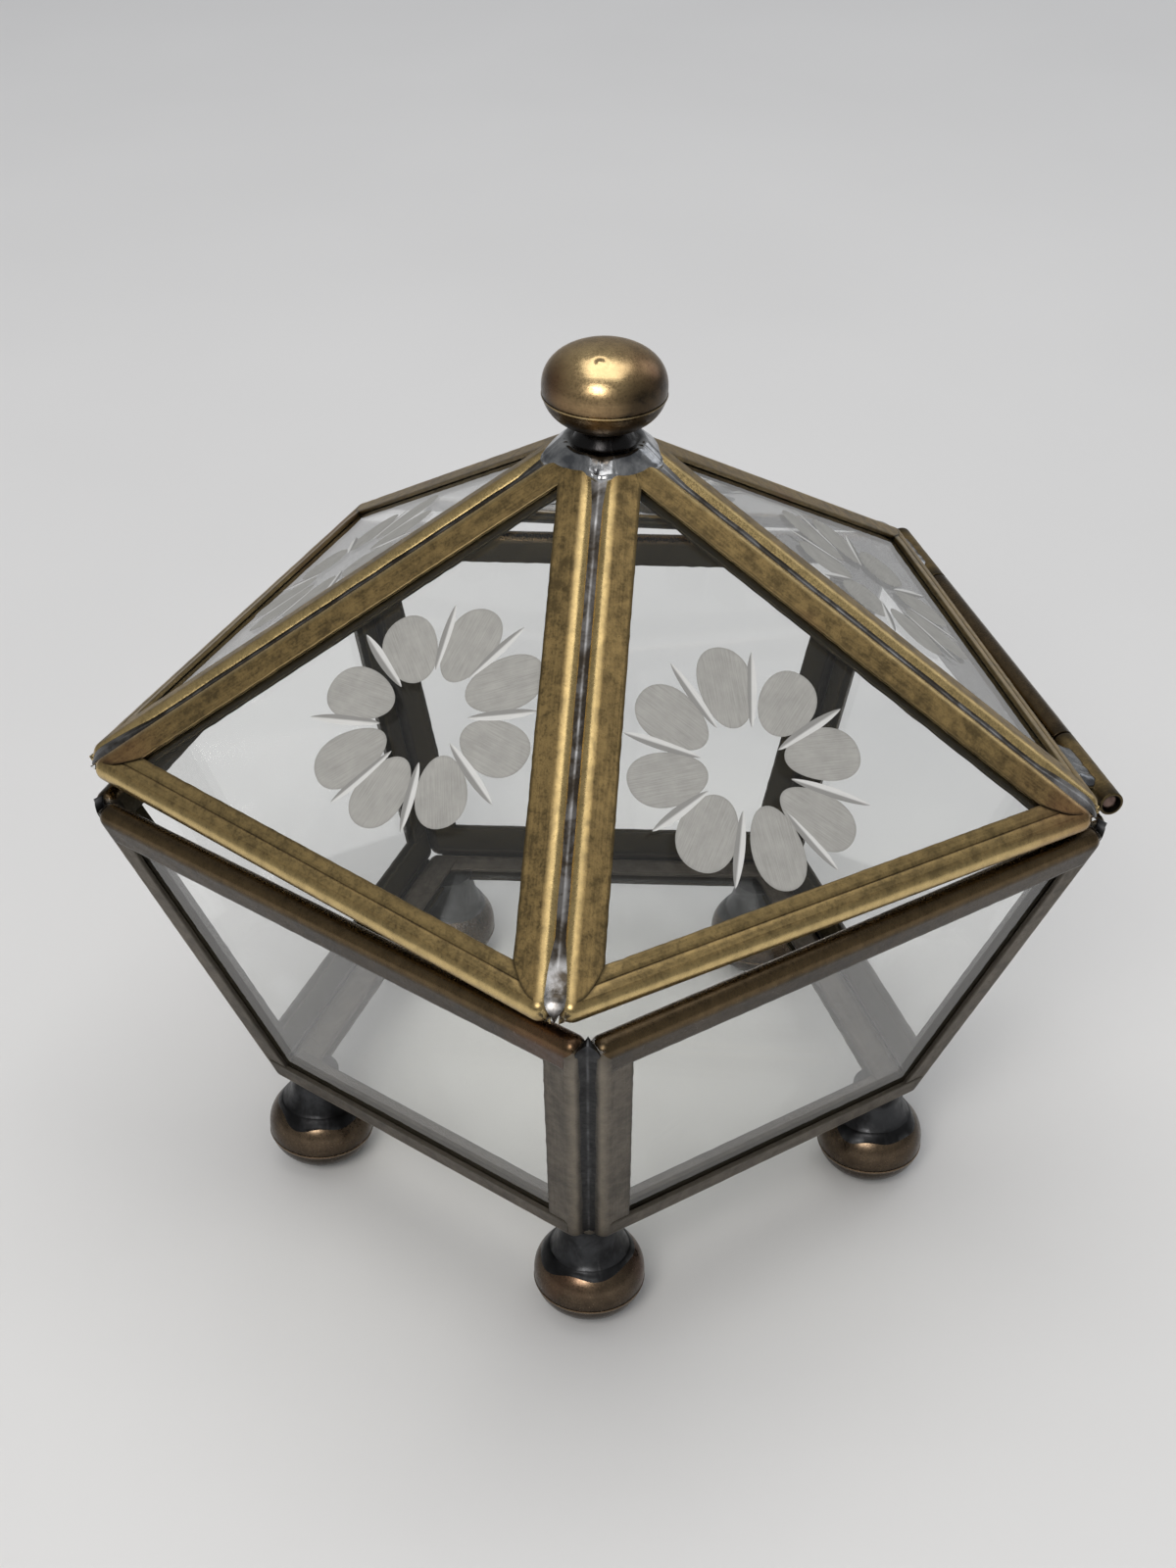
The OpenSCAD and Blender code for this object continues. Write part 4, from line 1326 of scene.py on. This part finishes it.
@dataclass(frozen=True)
class CutFlower:
    """A flower of eight oval petals and eight thin leaves, cut freehand into a lid pane."""

    petals: int = 8
    petal_len: float = 9.9
    petal_w: float = 6.8
    leaf_len: float = 9.8
    leaf_w: float = 1.35
    deep: float = 0.18
    proud: float = 0.012
    places: tuple[FlowerPlace, ...] = (
        FlowerPlace(0.4, 21.6, 0.31),
        FlowerPlace(-0.8, 22.5, 0.55),
        FlowerPlace(0.9, 21.9, 0.12),
        FlowerPlace(2.35, 24.3, 0.083),
        FlowerPlace(-3.4, 20.3, 0.80),
    )

    def cut(
        self, centre: Array, heading: float, length: float, width: float, kind: Cut, top: float, seed: int
    ) -> Patch:
        """Builds one cut: a shallow bowl or a V groove under a thin skin.

        The outline is x = L/2 cos f, y = W/2 sin f, with sin f raised to a power that makes it oval or
        pointed, and y made larger towards a petal's outer end. The depth falls as 1 - q^2 from the middle.

        Args:
            centre: Its middle, in the pane's plane.
            heading: Direction of its long way.
            length: Its length.
            width: Its width.
            kind: Which shape it is.
            top: Height of the pane's face.
            seed: Seed of its irregularities.

        Returns:
            A closed patch, with marks for its edge and its two flanks.
        """
        rng, leaf = np.random.default_rng(seed), kind is Cut.LEAF
        rings, spokes, power, blunt = (5, 32, 1.5, 0.0) if leaf else (7, 40, 0.94, 0.16)
        q, f = np.linspace(0, 1, rings)[:, None], round_circle(spokes)
        x = length / 2 * q * np.cos(f)
        egg = 1 + (blunt + rng.uniform(-0.05, 0.05)) * np.cos(f) * q
        y = width / 2 * q * np.sign(np.sin(f)) * np.abs(np.sin(f)) ** power * egg
        bent = y + rng.uniform(-0.004, 0.004) * x**2
        c, s = math.cos(heading), math.sin(heading)
        px, py = centre[0] + c * x - s * bent, centre[1] + s * x + c * bent
        heights = top + self.proud * (1 - q**4), top - 0.005 - self.deep * (1 - q**2)
        upper, lower = (np.stack(np.broadcast_arrays(px, py, z), -1) for z in heights)

        def both(value: Array) -> Array:
            """Gives a value of the upper side's rings to the lower side's too."""
            return np.concatenate([value, value[::-1]])

        # Picks each leaf's painted lit flank and painted shaded flank from its heading.
        flank = np.sign(np.cos(heading + math.pi / 2)) * y / width * leaf + 0.5
        marks = {"edge": both(q) ** 4, "flank": both(flank), "leaf": np.array(float(leaf))}
        uv = both(np.stack([x / 10 + seed % 7, bent / 10], -1))
        return wrapped(np.concatenate([upper, lower[::-1]]), marks, uv)

    def patches(self, size: Casket, number: int) -> list[Patch]:
        """Builds the flower of one pane, in its plane, each cut a little out of true."""
        rng = np.random.default_rng(900 + number)
        place = self.places[number - 1]
        middle, top, out = np.array([place.x, place.y]), size.glass_t / 2, []
        for i in range(self.petals):
            at = TURN * (i + place.phase) / self.petals + rng.normal(0, 0.03)
            spot = middle + (size.petal_ring_r + rng.normal(0, 0.15)) * np.array([math.cos(at), math.sin(at)])
            length, width = self.petal_len * rng.uniform(0.93, 1.05), self.petal_w * rng.uniform(0.95, 1.06)
            heading, seed = at + rng.normal(0, 0.07), 1000 * number + i
            out.append(self.cut(spot, heading, length, width, Cut.PETAL, top, seed))
            at = TURN * (i + 0.5 + place.phase) / self.petals + rng.normal(0, 0.035)
            spot = middle + (size.leaf_ring_r + rng.normal(0, 0.4)) * np.array([math.cos(at), math.sin(at)])
            length = self.leaf_len * rng.uniform(0.88, 1.08)
            out.append(self.cut(spot, at + rng.normal(0, 0.06), length, self.leaf_w, Cut.LEAF, top, seed + 50))
        return out


@dataclass(frozen=True)
class Glazing:
    """The panes: the CAD's side and base sheets in clear glass, and the lid's sheets with their flowers."""

    layout: Layout
    finishes: Finishes
    flower: CutFlower

    def sheet(self, outline: Array, cut_y: float) -> Patch:
        """Builds a three-cornered sheet whose tip is cut straight across at a height."""
        tip, n, t = outline[2], 4, self.layout.size.glass_t / 2
        right, left = (tip + (low - tip) * (tip[1] - cut_y) / (tip[1] - low[1]) for low in outline[1::-1])
        edge = np.array([outline[0], outline[1], right, left])
        points = np.concatenate([np.column_stack([edge, np.full(n, z)]) for z in (-t, t)])
        sides = [[i, (i + 1) % n, n + (i + 1) % n, n + i] for i in range(n)]
        return Patch(points, [list(range(n))[::-1], list(range(n, 2 * n))] + sides)

    def make(self) -> None:
        """Dresses the sheets and cuts the flowers."""
        s, outline = self.layout.size, self.layout.lid_outline()
        clear, ground = self.finishes["clear_glass"], self.finishes["ground_glass"]
        tip_y = outline[2][1] - s.peak_cut_r / math.cos(s.lid_slope)
        sheet = self.sheet(inset(outline, [s.came_wall + s.glass_clear] * 3), tip_y)
        for n in range(1, SIDES + 1):
            dress(f"side_glass_{n}", clear)
            place = self.layout.lid_side(n)
            build(f"lid_sheet_{n}", [sheet.moved(place)], [clear], "lid", (f"lid_glass_{n}",))
            cuts = [p.moved(place) for p in self.flower.patches(s, n)]
            build(f"lid_flower_{n}", cuts, [ground], "lid", sharp_deg=60)
        dress("base_glass", clear)


# ---- Feet and knob ----


@dataclass(frozen=True)
class PressedBall:
    """A flattened ball of two pressed shells: the lower one's lip shows under the upper one's edge."""

    radius: float
    height: float
    seam_drop: float
    lip: float = 0.10
    gap: float = 0.16

    def outline(self, start: float, end: float, count: int) -> Array:
        """Gives [radius, height] rows on the ball between two angles of its section.

        The section is |r/R|^p + |z/H|^p = 1, walked by angle.
        """
        f = np.linspace(start, end, count)
        r = self.radius * np.abs(np.cos(f)) ** (2 / BALL_POWER)
        z = self.height / 2 * np.sign(np.sin(f)) * np.abs(np.sin(f)) ** (2 / BALL_POWER)
        r[np.isclose(np.abs(f), math.pi / 2)] = 0
        return np.stack([r, z], -1)

    def angle_at(self, z: float) -> float:
        """Gives the section's angle at a height."""
        return math.copysign(math.asin(min(1.0, (abs(z) / (self.height / 2)) ** (BALL_POWER / 2))), z)

    def upper(self) -> tuple[Array, Marks]:
        """Outline and marks of the upper shell, whose edge turns in at the seam."""
        skin = self.outline(math.pi / 2, self.angle_at(self.gap / 2 - self.seam_drop), 70)
        r, z = skin[-1]
        turn = np.array([[r - 0.05, z - 0.07], [r - 0.18, z - 0.10], [r - 0.7, z - 0.06], [0, z]])
        # Brighter towards the top; darker towards the seam, and darkest in the turned-in edge.
        rub = 0.2 + 0.3 * smooth(skin[:, 1], -0.2 * self.height, 0.45 * self.height)
        soot = 0.5 * smooth(-skin[:, 1], 0.0, self.seam_drop * 1.4)
        marks = {"rub": np.concatenate([rub, [0.4, 0, 0, 0]]), "soot": np.concatenate([soot, [0.9, 1, 1, 1]])}
        return np.concatenate([skin, turn]), marks

    def lower(self) -> tuple[Array, Marks]:
        """Outline and marks of the lower shell, with a thin bright lip at the seam."""
        skin = self.outline(self.angle_at(-self.seam_drop - self.gap / 2), -math.pi / 2, 44)
        (r, z), skin, out = skin[0], skin[2:], self.lip
        inner = [[0, z], [r - 0.7, z + 0.05], [r - 0.1, z + 0.09]]
        lip = np.array(inner + [[r + out * 0.6, z + 0.05], [r + out, z - 0.06], [r + out * 0.55, z - 0.20]])
        # Darker towards the bottom and inside the seam, with the lip bright.
        rub = np.concatenate([[0, 0, 0.6, 1, 1, 0.7], np.full(len(skin), 0.25)])
        soot = 0.45 + 0.4 * smooth(-skin[:, 1], 0.15 * self.height, 0.5 * self.height)
        marks = {"rub": rub, "soot": np.concatenate([[1, 1, 0.4, 0, 0, 0.2], soot])}
        return np.concatenate([lip, skin]), marks


@dataclass(frozen=True)
class WearAndLightSpot:
    """One spot on a ball, among its wear, stains, painted highlights and painted shade: its mark, its place to
    the right and up as seen, reach and strength.
    """

    mark: str
    right: float
    up: float
    reach: float
    strength: float


@dataclass(frozen=True)
class Balls:
    """The five feet and the knob."""

    layout: Layout
    finishes: Finishes
    front: float = math.radians(343.3)
    above: float = math.radians(33.4)
    shy: float = 0.08
    dents: float = 0.05
    pimple: float = 0.12
    pimple_at: tuple[float, float] = (-0.11, 0.29)
    foot_wear_and_light: tuple[WearAndLightSpot, ...] = (
        # A dark solder cap over the top, spreading down both sides.
        WearAndLightSpot("soot", 0.0, 0.95, 0.55, 0.9),
        WearAndLightSpot("soot", 0.8, 0.3, 0.45, 0.7),
        WearAndLightSpot("soot", -0.8, 0.35, 0.40, 0.6),
        # Painted highlight near the middle.
        WearAndLightSpot("rub", 0.1, 0.1, 0.4, 0.5),
    )
    knob_wear_and_light: tuple[WearAndLightSpot, ...] = (
        # Painted highlights: a broad one at the upper left, a softer one near the middle.
        WearAndLightSpot("rub", -0.30, 0.45, 0.50, 0.7),
        WearAndLightSpot("rub", 0.10, 0.05, 0.40, 0.35),
        # Coppery stains at the right and the left.
        WearAndLightSpot("flush", 0.80, 0.15, 0.38, 0.9),
        WearAndLightSpot("flush", -0.85, 0.0, 0.34, 0.8),
        # A dark patch of wear at the lower right.
        WearAndLightSpot("soot", 0.50, -0.45, 0.38, 0.85),
        # Painted shade down the right and the left sides.
        WearAndLightSpot("soot", 0.95, -0.10, 0.58, 1.0),
        WearAndLightSpot("soot", -0.95, -0.15, 0.54, 0.95),
        # A grey solder smear at the lower left.
        WearAndLightSpot("soot", -0.45, -0.72, 0.22, 0.6),
    )

    def ball(
        self, lower: str, upper: str, name: str, metal: str, body: str, seed: int, pimple: float,
        wear_and_light: tuple[WearAndLightSpot, ...],
    ) -> None:
        """Builds one ball in the space of its two CAD shells.

        Args:
            lower: CAD node of the lower shell.
            upper: CAD node of the upper shell.
            name: Start of the two pieces' names.
            metal: Its finish.
            body: The body that it rides on.
            seed: Seed of its dents.
            pimple: Height of the pimple near the top, in its own ring.
            wear_and_light: Its spots of wear and stain, its painted highlights and its painted shade.
        """
        (lo, hi), low_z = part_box(upper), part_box(lower)[0].z / MM
        middle = np.array([*centre_of(upper)[:2], (low_z + hi.z / MM) / 2])
        drop = self.layout.size.shell_seam_drop
        shape = PressedBall((hi.x - lo.x) / 2 / MM - self.shy, hi.z / MM - low_z, drop)
        place = Place(rot_z(0.7 * seed), middle)
        for part, node, (profile, marks) in (("upper", upper, shape.upper()), ("lower", lower, shape.lower())):
            unmarked = np.zeros(len(profile))
            marks = {"flush": unmarked, "inside": unmarked, **marks}
            patch = lathe(profile, 150, marks, self.dents, seed).moved(place)
            way = patch.points - middle
            way = way / np.maximum(np.linalg.norm(way, axis=1, keepdims=True), 0.1)
            # Adds the spots of wear and stain, the painted highlights and the painted shade, placed as seen
            # from the front corner.
            for spot in wear_and_light:
                near = bell(np.linalg.norm(way - self.towards(spot.right, spot.up), axis=1), 0, spot.reach)
                patch.marks[spot.mark] = np.clip(patch.marks[spot.mark] + spot.strength * near, 0, 1)
            off = np.linalg.norm(way - self.towards(*self.pimple_at), axis=1)
            raised = pimple * (bell(off, 0, 0.05) - 0.45 * bell(off, 0.12, 0.045))
            patch.points = patch.points + way * raised[:, None]
            build(f"{name}_{part}", [patch], [self.finishes[metal]], body, (node,), 50)

    def towards(self, right: float, up: float) -> Array:
        """Gives the direction from a ball's middle to a place on it, seen from the front corner and above."""
        level, front = math.cos(self.above), self.front
        ahead = np.array([math.cos(front) * level, math.sin(front) * level, math.sin(self.above)])
        side = np.array([-math.sin(front), math.cos(front), 0.0])
        return side * right + np.cross(ahead, side) * up + ahead * math.sqrt(max(0.0, 1 - right**2 - up**2))

    def make(self) -> None:
        """Builds the feet and the knob."""
        for n in range(1, SIDES + 1):
            names = (f"foot_lower_{n}", f"foot_upper_{n}", f"ball_foot_{n}")
            self.ball(*names, "foot_brass", "body", n, 0.0, self.foot_wear_and_light)
        self.ball("knob_lower", "knob_upper", "ball_knob", "knob_brass", "lid", 7, self.pimple, self.knob_wear_and_light)


# ---- Hinge ----


@dataclass(frozen=True)
class TubeHinge:
    """Three knuckles of brass tube on a wire, and the solder that holds them."""

    layout: Layout
    finishes: Finishes
    wire_inset: float = 0.4
    wire_dome: float = 0.35
    web_full: float = 1.3
    web_thin: float = 0.7

    def place(self) -> Place:
        """The hinge's axis: local z along it, local x up."""
        d = self.layout.hinge_dir
        return Place(np.stack([POLE, np.cross(d, POLE), d], -1), self.layout.hinge_at)

    def local(self, node: str) -> Array:
        """Gives a CAD node's points in the hinge's own frame, in millimetres."""
        mesh = frame["nodes"][node].data
        co = np.empty(len(mesh.vertices) * 3, np.float32)
        mesh.vertices.foreach_get("co", co)
        return (co.reshape(-1, 3) / MM - self.layout.hinge_at) @ self.place().turn

    def span(self, node: str) -> tuple[float, float]:
        """Gives where a CAD node starts and ends along the hinge, in millimetres."""
        along = self.local(node)[:, 2]
        return float(along.min()), float(along.max())

    def radius(self, node: str) -> float:
        """Gives the outer radius of a CAD node of the hinge, in millimetres."""
        lo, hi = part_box(node)
        return (hi.z - lo.z) / 2 / MM

    def knuckle(self, node: str, name: str, material: Material, body: str, seed: int) -> None:
        """Builds a tube with a wall, its ends a little rounded and smeared with solder."""
        (a, b), r, wall = self.span(node), self.radius(node), self.layout.size.tube_wall
        z = np.linspace(a + 0.16, b - 0.16, 40)
        outer = np.stack([r - 0.02 - 0.015 * np.abs(waves(z, seed, 6.0)), z], -1)
        first = np.array([[r - wall, a + 0.05], [r - wall * 0.7, a], [r - 0.12, a + 0.02], [r - 0.03, a + 0.1]])
        last = np.array([[r - 0.03, b - 0.1], [r - 0.12, b - 0.02], [r - wall * 0.7, b], [r - wall, b - 0.05]])
        profile = np.concatenate([first, outer, last, first[:1]])
        near = np.minimum(profile[:, 1] - a, b - profile[:, 1])
        rub, soot = (0.2, 0.35) if body == "lid" else (0.7, 0.0)
        # Painted shade in the bore at the tube's ends.
        inside = np.zeros(len(profile))
        inside[[0, -2, -1]] = 1.0
        marks = {
            "rub": np.concatenate([[0, 0.5, 0.7, 0.6], np.full(len(z), rub), [0.6, 0.7, 0.5, 0], [0]]),
            "soot": soot + 0.6 * (1 - smooth(near, 0.2, 3.0)),
            "inside": inside,
        }
        build(name, [lathe(profile, 48, marks).moved(self.place())], [material], body, (node,), 45)

    def saddle(self, points: Array, upwards: bool, seed: int) -> Patch:
        """Builds one solder web between tube and channel: sagging, with ragged ends.

        Args:
            points: The CAD web's points, in the hinge's own frame.
            upwards: Whether its full side looks up.
            seed: Seed of its irregularities.

        Returns:
            A closed patch, in the box's frame.
        """
        a, b = points[:, 2].min(), points[:, 2].max()
        centre = points[:, :2].mean(0)
        reach = np.linalg.norm(centre)
        way, wide = centre / reach, reach + 0.35
        across = np.array([-way[1], way[0]])
        across = across if (across[0] > 0) == upwards else -across
        t, psi = np.linspace(0, 1, 40)[:, None], round_circle(20)
        taper = 0.25 + 0.75 * np.sqrt(np.clip(np.minimum(t, 1 - t) * 8, 0, 1))
        fullness = np.where(np.sin(psi) > 0, self.web_full, self.web_thin)
        thick = (1.0 + 0.04 * waves(t * 40, seed, 14.0)) * taper * fullness
        stretch = wide * 0.72 * np.sign(np.cos(psi)) * np.abs(np.cos(psi)) ** 0.8
        u = reach * 1.02 + stretch * (0.8 + 0.2 * taper)
        v = thick * np.sin(psi) * (1 - 0.18 * np.cos((u - reach) / wide * math.pi) ** 2)
        plane, along = way * u[..., None] + across * v[..., None], a + (b - a) * t
        grid = np.concatenate([plane, np.broadcast_to(along[..., None], plane[..., :1].shape)], -1)
        uv = np.stack(np.broadcast_arrays(along / 10, psi / 3), -1)
        return wrapped(grid, {"soot": np.array(0.1)}, uv, capped=True).moved(self.place())

    def rod(self) -> None:
        """Builds the wire with slightly domed, sheared ends."""
        tubes = self.span("hinge_knuckle_left") + self.span("hinge_knuckle_right")
        a, b, r = min(tubes) + self.wire_inset, max(tubes) - self.wire_inset, self.radius("hinge_rod")
        f = np.linspace(0, math.pi / 2, 8)
        low = np.stack([r * np.sin(f), a + self.wire_dome * (1 - np.cos(f))], -1)
        high = np.stack([r * np.cos(f), b - self.wire_dome * (1 - np.sin(f))], -1)
        high[-1, 0] = 0
        shaft = np.stack([np.full(12, r), np.linspace(low[-1, 1], high[0, 1], 14)[1:-1]], -1)
        profile = np.concatenate([low, shaft, high])
        patch = lathe(profile, 40, {"soot": np.full(len(profile), 0.15)}).moved(self.place())
        build("hinge_wire", [patch], [self.finishes["hinge_steel"]], "body", ("hinge_rod",), 50)

    def make(self) -> None:
        """Builds the whole hinge."""
        rim, lid = self.finishes["rim_brass"], self.finishes["lid_brass"]
        self.knuckle("hinge_knuckle_body", "knuckle_middle", rim, "body", 201)
        self.knuckle("hinge_knuckle_right", "knuckle_right", lid, "lid", 202)
        self.knuckle("hinge_knuckle_left", "knuckle_left", lid, "lid", 203)
        node, tin = "hinge_solder_body", [self.finishes["dark_solder"]]
        web = self.saddle(self.local(node), False, 210)
        build("hinge_web_body", [web], tin, "body", (node,), 60)
        node, tin = "hinge_solder_lid", [self.finishes["crown_solder"]]
        both = self.local(node)
        first = both[:, 2] < (both[:, 2].min() + both[:, 2].max()) / 2
        webs = [self.saddle(both[first], True, 220), self.saddle(both[~first], True, 221)]
        build("hinge_web_lid", webs, tin, "lid", (node,), 60)
        self.rod()


# ---- Studio ----


@dataclass(frozen=True)
class Camera:
    """The view: where the camera stands round the box, in degrees and millimetres, and its lens."""

    azimuth: float = 73.33
    elevation: float = 33.39
    distance: float = 319.14
    right: float = -1.74
    height: float = 53.24
    roll: float = 0.61
    focal_px: float = 2501.5
    frame_px: float = 1600.0
    sensor_mm: float = 36.0

    def make(self, layout: Layout) -> None:
        """Makes the camera, upright on the box's axis."""
        a, e = math.radians(self.azimuth), math.radians(self.elevation)
        back = Vector((math.sin(a) * math.cos(e), -math.cos(a) * math.cos(e), math.sin(e)))
        right = Vector((math.cos(a), math.sin(a), 0))
        target = Vector((*layout.axis, 0)) + right * self.right + Vector((0, 0, self.height))
        basis = Matrix((right, back.cross(right), back)).transposed()
        basis = (basis @ Matrix.Rotation(math.radians(self.roll), 3, "Z")).to_4x4()
        data = bpy.data.cameras.new("view")
        data.sensor_fit = "VERTICAL"
        data.sensor_height = self.sensor_mm
        data.lens = self.focal_px * self.sensor_mm / self.frame_px
        data.clip_start = 0.01
        camera = bpy.data.objects.new("view", data)
        camera.matrix_world = Matrix.Translation((target + back * self.distance) * MM) @ basis
        bpy.context.scene.collection.objects.link(camera)
        bpy.context.scene.camera = camera


@dataclass(frozen=True)
class Studio:
    """A plain pale floor, a pale surround and soft lamps."""

    floor: Colour = (0.80, 0.795, 0.78)
    surround: Colour = (0.27, 0.27, 0.265)
    ambient: float = 0.42
    ambient_colour: Colour = (0.90, 0.93, 1.0)

    def ground(self) -> None:
        """Builds the floor: a wide disc, barely mottled."""
        rows, cols = 24, 96
        points = ring(6000 * np.linspace(0, 1, rows)[:, None] ** 2, round_circle(cols), 0.0)
        mesh = bpy.data.meshes.new("floor")
        mesh.from_pydata((points.reshape(-1, 3) * MM).tolist(), [], grid_faces(rows, cols)[:, ::-1].tolist())
        s = Sheet("pale_floor")
        colour = s.mix(s.rise(s.noise(9.0, 3.0, 0.5, 0.2), 0.35, 0.7), scaled(self.floor, 0.97), self.floor)
        mesh.materials.append(s.finish(s.surface(colour, 0.55)))
        floor = bpy.data.objects.new("floor", mesh)
        bpy.context.scene.collection.objects.link(floor)

    def lamp(self, name: str, at: tuple, size: tuple, watts: float, colour: Colour) -> None:
        """Adds one soft lamp, in metres and watts, aimed at the box."""
        data = bpy.data.lights.new(name, "AREA")
        data.shape, data.size, data.size_y = "RECTANGLE", *size
        data.energy, data.color = watts, colour
        lamp = bpy.data.objects.new(name, data)
        way = Vector((0, 0, 0.05)) - Vector(at)
        lamp.matrix_world = Matrix.Translation(at) @ way.to_track_quat("-Z", "Y").to_matrix().to_4x4()
        bpy.context.scene.collection.objects.link(lamp)

    def world(self) -> None:
        """Makes the surround: pale where it is seen, mirrored or looked at through glass, dimmer as light."""
        world = bpy.data.worlds.new("surround")
        s = Nodes(world)
        rays = s.tree.nodes.new("ShaderNodeLightPath").outputs
        seen = s.add(s.add(rays["Is Camera Ray"], rays["Is Glossy Ray"]), rays["Is Transmission Ray"])
        lit = s.node("Background", {"Color": self.ambient_colour, "Strength": self.ambient})
        shown = s.node("Background", {"Color": self.surround})
        s.close(s.node("MixShader", {0: seen, 1: lit, 2: shown}), "World")
        bpy.context.scene.world = world

    def make(self) -> None:
        """Builds the studio."""
        self.ground()
        self.world()
        self.lamp("front_left", (0.60, -0.39, 0.68), (0.34, 0.42), 3.6, (1.0, 0.97, 0.93))
        self.lamp("overhead", (-0.10, 0.05, 0.95), (0.75, 0.75), 3.0, (1.0, 0.98, 0.96))
        self.lamp("far_right", (-0.35, 0.85, 0.55), (0.45, 0.60), 0.7, (0.95, 0.97, 1.0))
        bpy.context.scene.view_settings.view_transform = "Standard"


def main() -> None:
    """Builds the camera, the studio and every sub-assembly."""
    logging.basicConfig(level=logging.INFO, format="%(name)s: %(message)s")
    layout = Layout.from_frame(Casket())
    Camera().make(layout)
    Studio().make()
    finishes = make_finishes()
    Channels(layout, finishes, ChannelFrame(layout.size)).make()
    SolderWork(layout, finishes).make()
    Glazing(layout, finishes, CutFlower()).make()
    Balls(layout, finishes).make()
    TubeHinge(layout, finishes).make()


if __name__ == "__main__":
    main()
